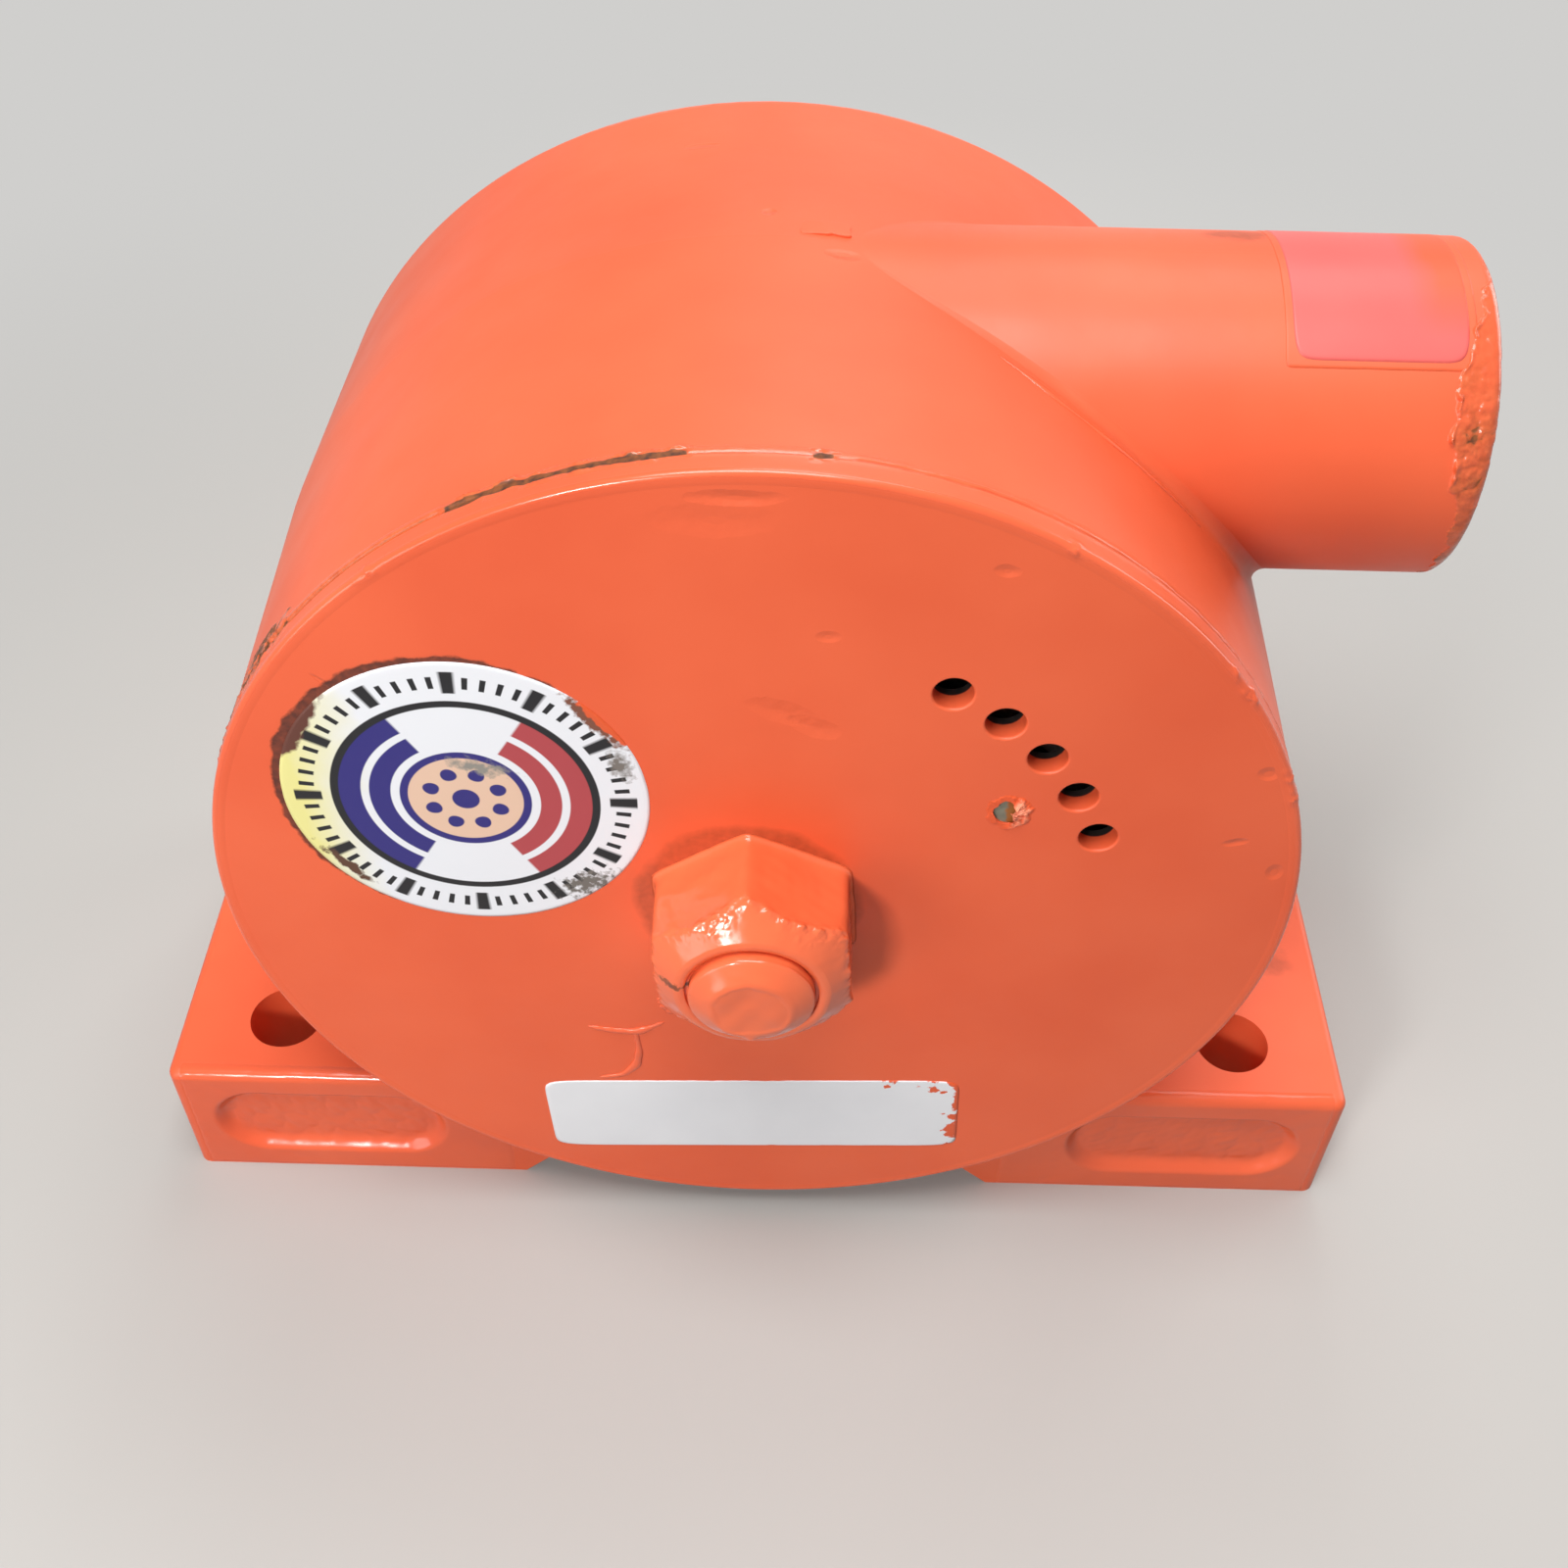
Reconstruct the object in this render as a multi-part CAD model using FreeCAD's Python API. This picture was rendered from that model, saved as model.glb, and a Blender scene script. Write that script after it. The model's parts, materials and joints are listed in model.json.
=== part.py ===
import FreeCAD, Part
import math
import os

# Pneumatic turbine vibration motor. A cast drum on two feet is closed by a disc cover that one
# through bolt clamps. The bolt is also the axle: an unbalanced bucket wheel turns round it on two
# ball bearings, driven by a jet of air from the tangential inlet.
# Millimetres. X points to the inlet side, Y to the rear and Z up. The origin is the centre of the
# four mounting holes on the plane that the feet stand on, and Y = 0 is the casting's parting plane.

Vec = FreeCAD.Vector
os.makedirs("parts", exist_ok=True)

# Drum casting
drum_radius = 84.0            # at the parting plane, the widest place
draft_deg = 1.65              # taper from the parting plane to both ends
drum_front = 50.35            # parting plane to the cover joint
drum_rear = 47.8              # parting plane to the rear face
drum_wall = 14.55             # wall at the cover joint
rear_wall = 8.0
rear_round = 4.0
rear_boss_radius = 25.0
rear_boss_height = 2.0
joint_edge = 0.4              # softened edges on both sides of the cover joint
foot_blend = 4.0              # cove where the drum meets the feet
inlet_blend = 2.0             # cove where the drum meets the inlet

# Feet
base_width = 215.9
base_length = 95.0
foot_height = 29.2
belly_clearance = 4.9         # lowest point of the drum above the floor
foot_width = 63.5             # outer side to the relief under the drum
relief_height = 6.35
foot_corner = 2.2
foot_edge = 1.8
hole_inset = 19.45            # hole centre from the foot's outer side
hole_setback = 13.5           # hole centre from the foot's front and back
hole_radius = 6.75
pocket_height = 19.0
pocket_depth = 2.2
pocket_slope = 2.0
pocket_margin = 6.0           # from the foot's outer side
pocket_gap = 8.2              # from the drum
pocket_lip = 1.0

# Inlet
inlet_radius = 25.0
inlet_reach = 102.3           # axis to the inlet's end
inlet_edge = 1.6
jet_inset = 10.0              # jet line inside the chamber wall
thread_radius = 13.2          # outer radius of the pipe thread
thread_depth = 24.0
thread_mouth = 1.5
jet_radius = 4.5

# Cover
cover_thickness = 4.15
cover_edge = 0.7
exhaust_edge = 0.4
exhaust_count = 5
exhaust_radius = 2.85
exhaust_inset = 14.3          # from the chamber wall
exhaust_step_deg = 10.0
exhaust_middle_deg = 40.0
plug_radius = 2.5
plug_inset = 9.9              # inside the exhaust circle
plug_deg = 32.3
plug_sink = 0.35
seal_inset = 7.0              # from the chamber wall to the groove's middle
seal_groove_width = 4.4
seal_groove_depth = 2.8

# Through bolt, nut and washer
bolt_radius = 9.525
bolt_past_nut = 3.4
bolt_tip_length = 1.6
bolt_tip_inset = 3.2
head_flats = 28.575
head_height = 11.9
head_crown = 1.6              # height of the bevelled corners
head_corner_deg = 90.0        # straight up
washer_radius = 19.0
washer_thickness = 3.0
nut_flats = 29.2
nut_height = 16.6
nut_side = 11.8               # height of the hexagon's corners
nut_corner_deg = 94.4         # as it was tightened
nut_top_radius = 11.8
nut_mouth_radius = 10.3
nut_lip = 0.8
insert_height = 3.2
insert_wall = 1.65

# Bearings
bearing_radius = 22.225
bearing_width = 12.7
ball_count = 8
groove_radius = 3.97
ball_slack = 0.25
inner_shoulder_drop = 2.275   # pitch circle to the inner race's shoulders
outer_shoulder_rise = 2.325   # pitch circle to the outer race's shoulders
cage_wall = 2.7
cage_inset = 1.45             # race side to the cage's side
cage_slack = 0.13
shield_thickness = 0.6
shield_inset = 0.3
shield_gap = 0.35
snap_ring_thickness = 1.6
snap_ring_bite = 1.2
snap_ring_reach = 2.0
snap_ring_slot = 10.0
snap_ring_land = 1.4          # wheel face to the snap ring

# Bucket wheel
wheel_gap = 2.0               # wheel rim to chamber wall
end_gap = 9.05                # wheel face to the cover and to the rear wall
bucket_count = 18
bucket_width = 44.0
bucket_depth = 12.0
bucket_length = 18.0
bucket_back = 2.0             # undercut of the driven wall
bucket_floor = 4.0
weight_bores = 8
weight_radius = 11.5
weight_wall = 4.0             # bucket floor to weight bore
shoulder_bite = 2.2           # step that seats the outer races

# Clearances
bolt_clearance = 0.3
fit = 0.02                    # pressed and clamped pieces
near = 0.01                   # reach when an edge is picked by its place

# Derived places
axis_height = drum_radius + belly_clearance
relief_width = base_width - 2 * foot_width
hole_pitch_x = base_width - 2 * hole_inset
hole_pitch_y = base_length - 2 * hole_setback
taper = math.tan(math.radians(draft_deg))
joint_y = -drum_front
cover_y = joint_y - cover_thickness
rear_y = drum_rear
chamber_end_y = rear_y - rear_wall
cover_radius = drum_radius - drum_front * taper
chamber_radius = cover_radius - drum_wall
inlet_height = axis_height + chamber_radius - jet_inset
exhaust_circle = chamber_radius - exhaust_inset
plug_circle = exhaust_circle - plug_inset
seal_circle = chamber_radius + seal_inset
bolt_hole = bolt_radius + bolt_clearance
wheel_radius = chamber_radius - wheel_gap
wheel_front_y = joint_y + end_gap
wheel_rear_y = chamber_end_y - end_gap
weight_circle = wheel_radius - bucket_depth - weight_wall - weight_radius
pitch_radius = (bolt_radius + bearing_radius) / 2
inner_shoulder = pitch_radius - inner_shoulder_drop
outer_shoulder = pitch_radius + outer_shoulder_rise
cage_width = bearing_width - 2 * cage_inset
front_bearing_y = wheel_front_y + snap_ring_land + snap_ring_thickness
rear_bearing_y = wheel_rear_y - snap_ring_land - snap_ring_thickness - bearing_width
spacer_radius = inner_shoulder - fit
race_bore = bolt_radius + fit

axis_point = Vec(0, 0, axis_height)
along_y = Vec(0, 1, 0)


def on_axis(y):
    return Vec(0, y, axis_height)


def at_angle(radius, angle_deg, y):
    # Place on a circle round the spin axis. The angle runs from +X up towards +Z.
    angle = math.radians(angle_deg)
    return Vec(radius * math.cos(angle), y, axis_height + radius * math.sin(angle))


def rod(radius, y0, y1, centre=None):
    # Cylinder along the spin axis, or parallel to it through another centre.
    start = Vec(centre.x, y0, centre.z) if centre else on_axis(y0)
    return Part.makeCylinder(radius, y1 - y0, start, along_y)


def ring(outer, inner, y0, y1):
    return rod(outer, y0, y1).cut(rod(inner, y0, y1))


def turned(profile):
    # Solid turned round the spin axis from (radius, y) points.
    points = [Vec(r, y, axis_height) for r, y in profile]
    wire = Part.makePolygon(points + [points[0]])
    return Part.Face(wire).revolve(axis_point, along_y, 360)


def turn_copies(shape, count, first_deg=0.0):
    copies = []
    for i in range(count):
        copy = shape.copy()
        copy.rotate(axis_point, along_y, -(first_deg + i * 360.0 / count))
        copies.append(copy)
    return copies


def hexagon(flats, y0, y1, corner_deg):
    # Hexagonal bar along the spin axis with a corner at the given angle.
    corner = flats / math.sqrt(3)
    points = [at_angle(corner, corner_deg + 60 * i, y0) for i in range(7)]
    return Part.Face(Part.makePolygon(points)).extrude(Vec(0, y1 - y0, 0))


def obround(length, height, x, y, z):
    # Flat wire with round ends in the plane y.
    half = (length - height) / 2
    r = height / 2
    top = Part.LineSegment(Vec(x - half, y, z + r), Vec(x + half, y, z + r))
    right = Part.Arc(Vec(x + half, y, z + r), Vec(x + half + r, y, z), Vec(x + half, y, z - r))
    bottom = Part.LineSegment(Vec(x + half, y, z - r), Vec(x - half, y, z - r))
    left = Part.Arc(Vec(x - half, y, z - r), Vec(x - half - r, y, z), Vec(x - half, y, z + r))
    return Part.Wire([e.toShape() for e in (top, right, bottom, left)])


def rounded(shape, radius, wanted):
    # Fillets the edges that the wanted test picks.
    return shape.makeFillet(radius, [e for e in shape.Edges if wanted(e)])


def middle(edge):
    return edge.valueAt((edge.FirstParameter + edge.LastParameter) / 2)


def export(node, shape):
    shape.exportStep("parts/" + node + ".step")


def radius_at(y):
    return drum_radius - abs(y) * taper


def off_axis(point):
    return math.hypot(point.x, point.z - axis_height)


def mould_half(y0, y1):
    # The part of the drum and inlet that one half of the mould forms, with a cove where they meet.
    drum = turned([(0, y0), (radius_at(y0), y0), (radius_at(y1), y1), (0, y1)])
    end_y, end_round = (rear_y, rear_round) if y1 == rear_y else (joint_y, joint_edge)
    drum = rounded(drum, end_round, lambda e: e.Closed and abs(middle(e).y - end_y) < near)
    boss = Part.makeCylinder(inlet_radius, inlet_reach, Vec(0, 0, inlet_height), Vec(1, 0, 0))
    boss = rounded(boss, inlet_edge, lambda e: e.Closed and abs(middle(e).x - inlet_reach) < near)
    span = Part.makeBox(2 * inlet_reach, y1 - y0, 2 * inlet_height, Vec(-inlet_reach / 2, y0, 0))

    def meeting(edge):
        m = middle(edge)
        on_inlet = abs(math.hypot(m.y, m.z - inlet_height) - inlet_radius) < near
        return on_inlet and abs(m.y) > near and abs(off_axis(m) - radius_at(m.y)) < near

    return rounded(drum.fuse(boss.common(span)).removeSplitter(), inlet_blend, meeting)


def rear_boss():
    return turned([(0, rear_y), (rear_boss_radius + rear_boss_height, rear_y),
                   (rear_boss_radius, rear_y + rear_boss_height), (0, rear_y + rear_boss_height)])


def base_blank():
    # Both feet and the web between them: one outline carried from front to back, with coves that
    # run up to the drum and end inside it.
    side = base_width / 2
    edge = relief_width / 2
    relief = edge - relief_height
    y0 = -base_length / 2
    cove_z = foot_height + foot_blend
    cove_x = math.sqrt((cover_radius + foot_blend) ** 2 - (axis_height - cove_z) ** 2)
    up_deg = math.degrees(math.atan2(axis_height - cove_z, -cove_x))
    drum_end = at_angle(cover_radius, math.degrees(math.atan2(cove_z - axis_height, cove_x)), y0)
    half_way = math.radians((up_deg - 90) / 2 - 90)
    bow = Vec(cove_x + foot_blend * math.sin(half_way), y0, cove_z + foot_blend * math.cos(half_way))
    foot_end = Vec(cove_x, y0, foot_height)

    def mirrored(point):
        return Vec(-point.x, point.y, point.z)

    right = [(relief, relief_height), (edge, 0), (side, 0), (side, foot_height)]
    right = [Vec(x, y0, z) for x, z in right] + [foot_end]
    left = [mirrored(p) for p in reversed(right)]
    edges = [Part.LineSegment(a, b).toShape() for a, b in zip(right, right[1:])]
    edges.append(Part.Arc(foot_end, bow, drum_end).toShape())
    edges.append(Part.LineSegment(drum_end, on_axis(y0)).toShape())
    edges.append(Part.LineSegment(on_axis(y0), mirrored(drum_end)).toShape())
    edges.append(Part.Arc(mirrored(drum_end), mirrored(bow), mirrored(foot_end)).toShape())
    edges += [Part.LineSegment(a, b).toShape() for a, b in zip(left, left[1:])]
    edges.append(Part.LineSegment(left[-1], right[0]).toShape())
    base = Part.Face(Part.Wire(edges)).extrude(Vec(0, base_length, 0))

    def upright(edge):
        return abs(abs(middle(edge).x) - side) < near and abs(edge.Length - foot_height) < near

    base = rounded(base, foot_corner, upright)

    def top_rim(edge):
        m = middle(edge)
        across = abs(abs(m.y) - base_length / 2) > foot_corner and abs(abs(m.x) - side) > near
        return m.z > foot_height - near and m.z < cove_z and not across

    return rounded(base, foot_edge, top_rim)


def foot_pocket(side):
    # Shallow obround recess with sloping walls in the front of a foot, as long as the room between
    # the drum and the foot's outer side allows.
    r = pocket_height / 2
    z = foot_height / 2
    mouth_y = -base_length / 2
    clear_of_drum = radius_at(mouth_y) + pocket_gap + r
    inner = math.sqrt(clear_of_drum ** 2 - (axis_height - z) ** 2) - r
    outer = base_width / 2 - pocket_margin
    x = side * (inner + outer) / 2
    length = outer - inner
    mouth = obround(length, pocket_height, x, mouth_y, z)
    shrink = 2 * pocket_slope
    floor = obround(length - shrink, pocket_height - shrink, x, mouth_y + pocket_depth, z)
    return Part.makeLoft([mouth, floor], True, True)


def pocketed(casting):
    # Cuts both foot pockets and softens their lips and floors, as paint and casting leave them.
    low = (foot_height - pocket_height) / 2 - near
    high = (foot_height + pocket_height) / 2 + near

    def rim(y):
        def test(edge):
            box = edge.BoundBox
            flat = abs(box.YMin - y) < near and abs(box.YMax - y) < near
            return flat and box.ZMin > low and box.ZMax < high
        return test

    casting = casting.cut([foot_pocket(-1), foot_pocket(1)])
    casting = rounded(casting, pocket_lip, rim(-base_length / 2 + pocket_depth))
    return rounded(casting, pocket_lip, rim(-base_length / 2))


def inlet_bore():
    # Bore of the pipe thread, its bevelled mouth and the jet passage into the chamber.
    inward = Vec(-1, 0, 0)
    mouth = Vec(inlet_reach, 0, inlet_height)
    thread = Part.makeCylinder(thread_radius, thread_depth, mouth, inward)
    bevel = Part.makeCone(thread_radius + thread_mouth, thread_radius, thread_mouth, mouth, inward)
    jet = Part.makeCylinder(jet_radius, inlet_reach, mouth, inward)
    return thread.fuse(bevel).fuse(jet)


def housing():
    casting = mould_half(joint_y, 0).fuse([mould_half(0, rear_y), rear_boss(), base_blank()])
    casting = casting.removeSplitter()
    holes = []
    for x in (-hole_pitch_x / 2, hole_pitch_x / 2):
        for y in (-hole_pitch_y / 2, hole_pitch_y / 2):
            holes.append(Part.makeCylinder(hole_radius, foot_height, Vec(x, y, 0)))
    chamber = rod(chamber_radius, joint_y, chamber_end_y)
    groove = ring(seal_circle + seal_groove_width / 2, seal_circle - seal_groove_width / 2,
                  joint_y, joint_y + seal_groove_depth)
    bolt_way = rod(bolt_hole, chamber_end_y, rear_y + rear_boss_height)
    return pocketed(casting).cut(holes + [chamber, groove, bolt_way, inlet_bore()])


def front_cover():
    disc = rod(cover_radius, cover_y, joint_y)
    disc = rounded(disc, cover_edge, lambda e: e.Closed and abs(middle(e).y - cover_y) < near)
    disc = rounded(disc, joint_edge, lambda e: e.Closed and abs(middle(e).y - joint_y) < near)
    exhausts = []
    for i in range(exhaust_count):
        angle = exhaust_middle_deg + (i - (exhaust_count - 1) / 2) * exhaust_step_deg
        exhausts.append(rod(exhaust_radius, cover_y, joint_y, at_angle(exhaust_circle, angle, cover_y)))

    def exhaust_mouth(edge):
        at_front = edge.Closed and abs(middle(edge).y - cover_y) < near
        return at_front and abs(edge.Length - 2 * math.pi * exhaust_radius) < near

    disc = rounded(disc.cut(exhausts), exhaust_edge, exhaust_mouth)
    plug_hole = rod(plug_radius + fit, cover_y, joint_y, at_angle(plug_circle, plug_deg, cover_y))
    return disc.cut([plug_hole, rod(bolt_hole, cover_y, joint_y)])


def cover_plug():
    return rod(plug_radius, cover_y + plug_sink, joint_y, at_angle(plug_circle, plug_deg, cover_y))


def cover_seal():
    # Square-cut rubber ring that the cover presses into its groove.
    half = seal_groove_depth / 2
    return ring(seal_circle + half, seal_circle - half, joint_y, joint_y + seal_groove_depth)


def centre_bolt():
    # Hexagon head at the rear, plain shank, and a bevelled tip in front of the nut.
    seat_y = rear_y + rear_boss_height + washer_thickness
    top_y = seat_y + head_height
    corner = head_flats / math.sqrt(3)
    crown = turned([(0, seat_y), (corner, seat_y), (corner, top_y - head_crown),
                    (head_flats / 2, top_y), (0, top_y)])
    head = hexagon(head_flats, seat_y, top_y, head_corner_deg).common(crown)
    tip_y = cover_y - nut_height - bolt_past_nut
    shank = turned([(0, seat_y), (bolt_radius, seat_y), (bolt_radius, tip_y + bolt_tip_length),
                    (bolt_radius - bolt_tip_inset, tip_y), (0, tip_y)])
    return head.fuse(shank).removeSplitter()


def bolt_washer():
    face_y = rear_y + rear_boss_height
    return ring(washer_radius, bolt_hole, face_y, face_y + washer_thickness)


def insert_span():
    outer_y = cover_y - nut_height + nut_lip
    return outer_y, outer_y + insert_height


def lock_nut():
    # Hexagon with a coned top that closes over a recess for the locking ring.
    top_y = cover_y - nut_height
    corner = nut_flats / math.sqrt(3)
    cone = turned([(0, cover_y), (corner, cover_y), (corner, cover_y - nut_side),
                   (nut_top_radius, top_y), (0, top_y)])
    body = hexagon(nut_flats, top_y, cover_y, nut_corner_deg).common(cone)
    y0, y1 = insert_span()
    recess = rod(race_bore + insert_wall + fit, y0, y1)
    return body.cut([rod(race_bore, top_y, cover_y), rod(nut_mouth_radius, top_y, y0), recess])


def lock_nut_insert():
    y0, y1 = insert_span()
    return ring(race_bore + insert_wall, race_bore, y0, y1)


def bucket():
    # Pocket at the top of the wheel. The jet comes from +X and strikes the hollow wall on the left.
    rim = axis_height + wheel_radius
    y0 = -bucket_width / 2
    lip = Vec(0, y0, rim)
    hollow = Vec(-bucket_back, y0, rim - bucket_depth / 2)
    floor = Vec(bucket_floor, y0, rim - bucket_depth)
    ramp_end = Vec(bucket_length, y0, rim)
    above = Vec(0, 0, bucket_depth)
    edges = [Part.Arc(lip, hollow, floor).toShape()]
    corners = [floor, ramp_end, ramp_end + above, lip + above, lip]
    for a, b in zip(corners, corners[1:]):
        edges.append(Part.LineSegment(a, b).toShape())
    return Part.Face(Part.Wire(edges)).extrude(Vec(0, bucket_width, 0))


def rotor_wheel():
    wheel = rod(wheel_radius, wheel_front_y, wheel_rear_y)
    seat = bearing_radius + fit
    cuts = turn_copies(bucket(), bucket_count)
    weight = rod(weight_radius + fit, wheel_front_y, wheel_rear_y, at_angle(weight_circle, 0, 0))
    cuts += turn_copies(weight, weight_bores, 180.0 / weight_bores)
    cuts.append(rod(bearing_radius - shoulder_bite, wheel_front_y, wheel_rear_y))
    cuts.append(rod(seat, wheel_front_y, front_bearing_y + bearing_width))
    cuts.append(rod(seat, rear_bearing_y, wheel_rear_y))
    for y0 in (wheel_front_y + snap_ring_land, wheel_rear_y - snap_ring_land - snap_ring_thickness):
        cuts.append(rod(seat + snap_ring_bite, y0, y0 + snap_ring_thickness))
    return wheel.cut(cuts)


def rotor_weights():
    # Steel slugs in the bores of the lower half, which is the heavy side and hangs down at rest.
    slug = rod(weight_radius, wheel_front_y, wheel_rear_y, at_angle(weight_circle, 0, 0))
    slugs = turn_copies(slug, weight_bores, 180.0 / weight_bores)
    return Part.makeCompound(slugs[weight_bores // 2:])


def snap_ring(y0):
    # Open spring ring that holds an outer race against its shoulder.
    outer = bearing_radius + snap_ring_bite
    body = ring(outer, bearing_radius - snap_ring_reach, y0, y0 + snap_ring_thickness)
    slot_corner = Vec(-snap_ring_slot / 2, y0, axis_height)
    slot = Part.makeBox(snap_ring_slot, snap_ring_thickness, 2 * outer, slot_corner)
    return body.cut(slot)


def ball_bearing(name, y0):
    # Deep groove bearing: races, shields on the outer race, balls and the cage that spaces them.
    y1 = y0 + bearing_width
    mid_y = (y0 + y1) / 2
    groove = Part.makeTorus(pitch_radius, groove_radius, on_axis(mid_y), along_y)
    ball_radius = groove_radius - ball_slack
    ball = Part.makeSphere(ball_radius, at_angle(pitch_radius, 0, mid_y))
    pocket = Part.makeCylinder(ball_radius + cage_slack, bearing_radius, on_axis(mid_y), Vec(1, 0, 0))
    cage = ring(pitch_radius + cage_wall / 2, pitch_radius - cage_wall / 2,
                mid_y - cage_width / 2, mid_y + cage_width / 2)
    shields = []
    for start in (y0 + shield_inset, y1 - shield_inset - shield_thickness):
        end = start + shield_thickness
        shields.append(ring(outer_shoulder - fit, inner_shoulder + shield_gap, start, end))
    export(name + "_outer_race", ring(bearing_radius, outer_shoulder, y0, y1).cut(groove))
    export(name + "_inner_race", ring(inner_shoulder, race_bore, y0, y1).cut(groove))
    export(name + "_balls", Part.makeCompound(turn_copies(ball, ball_count)))
    export(name + "_cage", cage.cut(turn_copies(pocket, ball_count)))
    export(name + "_shields", Part.makeCompound(shields))


def spacer(y0, y1):
    return ring(spacer_radius, race_bore, y0, y1)


export("housing", housing())
export("front_cover", front_cover())
export("cover_plug", cover_plug())
export("cover_seal", cover_seal())
export("centre_bolt", centre_bolt())
export("bolt_washer", bolt_washer())
export("lock_nut", lock_nut())
export("lock_nut_insert", lock_nut_insert())
export("front_end_spacer", spacer(joint_y, front_bearing_y))
export("bearing_spacer", spacer(front_bearing_y + bearing_width, rear_bearing_y))
export("rear_end_spacer", spacer(rear_bearing_y + bearing_width, chamber_end_y))
export("rotor_wheel", rotor_wheel())
export("rotor_weights", rotor_weights())
export("front_snap_ring", snap_ring(wheel_front_y + snap_ring_land))
export("rear_snap_ring", snap_ring(wheel_rear_y - snap_ring_land - snap_ring_thickness))
ball_bearing("front_bearing", front_bearing_y)
ball_bearing("rear_bearing", rear_bearing_y)
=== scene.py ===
import bmesh
import bpy
import json
import numpy as np
from functools import partial
from mathutils import Matrix, Vector


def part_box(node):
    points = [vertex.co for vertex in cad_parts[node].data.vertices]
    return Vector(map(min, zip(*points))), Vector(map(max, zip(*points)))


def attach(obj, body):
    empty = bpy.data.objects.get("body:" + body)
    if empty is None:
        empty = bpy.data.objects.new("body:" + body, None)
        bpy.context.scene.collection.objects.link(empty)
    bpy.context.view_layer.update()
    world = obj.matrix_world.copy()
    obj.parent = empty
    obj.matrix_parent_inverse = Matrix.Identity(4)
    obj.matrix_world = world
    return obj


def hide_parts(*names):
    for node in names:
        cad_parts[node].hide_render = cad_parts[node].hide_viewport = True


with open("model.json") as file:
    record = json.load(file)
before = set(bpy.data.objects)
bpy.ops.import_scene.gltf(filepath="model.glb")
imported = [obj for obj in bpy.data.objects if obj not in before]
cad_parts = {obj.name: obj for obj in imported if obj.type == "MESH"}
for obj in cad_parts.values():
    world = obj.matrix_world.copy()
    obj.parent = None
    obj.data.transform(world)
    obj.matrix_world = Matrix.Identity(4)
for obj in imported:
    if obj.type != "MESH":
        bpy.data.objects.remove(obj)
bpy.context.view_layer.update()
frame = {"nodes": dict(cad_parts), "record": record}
print("frame loaded with", len(frame["nodes"]), "CAD nodes")

mm = 0.001
tau = 2 * np.pi


def boxOf(node):
    # Lowest and highest corner of a CAD node in millimetres.
    low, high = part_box(node)
    return np.array(low) / mm, np.array(high) / mm


# Places taken from the frame, in millimetres: X to the inlet side, Y to the rear, Z up.
coverLow, coverHigh = boxOf("front_cover")
axisZ = (coverLow[2] + coverHigh[2]) / 2
coverY = coverLow[1]
jointY = coverHigh[1]
coverRadius = (coverHigh[0] - coverLow[0]) / 2
nutTopY = boxOf("lock_nut")[0][1]
washerY = boxOf("bolt_washer")[1][1]
boltLow, boltHigh = boxOf("centre_bolt")
plugLow, plugHigh = boxOf("cover_plug")
plugCentre = (plugLow + plugHigh) / 2
crestZ = boxOf("housing")[1][2]
inletMount = next(m for m in frame["record"]["mounts"] if m["name"] == "air_inlet")
inletZ = inletMount["pos_m"][2] / mm
threadRadius = inletMount["dims"]["r_mm"]


def linear(hexColour):
    # sRGB hex value to linear red, green, blue and alpha.
    srgb = np.array([int(hexColour[i:i + 2], 16) for i in (0, 2, 4)]) / 255
    low = srgb / 12.92
    high = ((srgb + 0.055) / 1.055) ** 2.4
    return (*np.where(srgb <= 0.04045, low, high).tolist(), 1.0)


usual = {"Mix": {"data_type": "RGBA"}}  # properties that a kind of node has where a call names no other


def addNode(tree, kind, out, links=None, operation=None, **settings):
    # One node: settings are its properties, links give an input a value, a hex colour or another's socket.
    node = tree.nodes.new("ShaderNode" + kind)
    if operation:
        node.operation = operation
    for name, value in {**usual.get(kind, {}), **settings}.items():
        setattr(node, name, value)
    for name, value in (links or {}).items():
        if isinstance(value, bpy.types.NodeSocket):
            tree.links.new(value, node.inputs[name])
        else:
            node.inputs[name].default_value = linear(value) if isinstance(value, str) else value
    return node.outputs[out] if out is not None else node


def newMaterial(name):
    # Empty material, its node adder and object coordinates in millimetres.
    material = bpy.data.materials.new(name)
    material.use_nodes = True
    material.node_tree.nodes.clear()
    add = partial(addNode, material.node_tree)
    place = add("TexCoord", "Object")
    coords = add("VectorMath", 0, {0: place, "Scale": 1 / mm}, "SCALE")
    return material, add, coords


def finishSurface(add, colour, rough, height, deep=1.0, **sockets):
    # Shader with its bump, deep millimetres for a height of 1; sockets hold values that are even all over.
    bump = add("Bump", 0, {"Height": height, "Distance": deep * mm})
    links = {"Base Color": colour, "Roughness": rough, "Normal": bump, **sockets}
    add("OutputMaterial", None, {"Surface": add("BsdfPrincipled", 0, links)})


def spotMask(add, coords, spot):
    # Ellipsoid round a place: 1 inside and 0 outside, its edge made ragged by noise.
    links = {"Vector": coords, "Location": spot["at"], "Scale": spot["half"],
             "Rotation": (0, np.radians(spot.get("turn", 0)), 0)}
    local = add("Mapping", 0, links, vector_type="TEXTURE")
    far = add("VectorMath", "Value", {0: local}, "LENGTH")
    grain = add("TexNoise", "Fac", {"Vector": coords, "Scale": 1 / spot.get("grain", 2.0), "Detail": 4.0})
    jag = spot.get("jag", 0.0)
    edge = add("Math", 0, {0: grain, 1: jag, 2: far}, "MULTIPLY_ADD")
    middle = 1 + jag / 2
    soft = spot.get("soft", 0.1)
    return add("MapRange", 0, {"Value": edge, "From Min": middle + soft, "From Max": middle - soft})


def onCover(x, z, wide, tall, **more):
    # Mark on the cover's face: its place from the axis, its half sizes and what else it is.
    reach = 3
    return {"at": (x, coverY, axisZ + z), "half": (wide, reach, tall), **more}


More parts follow.
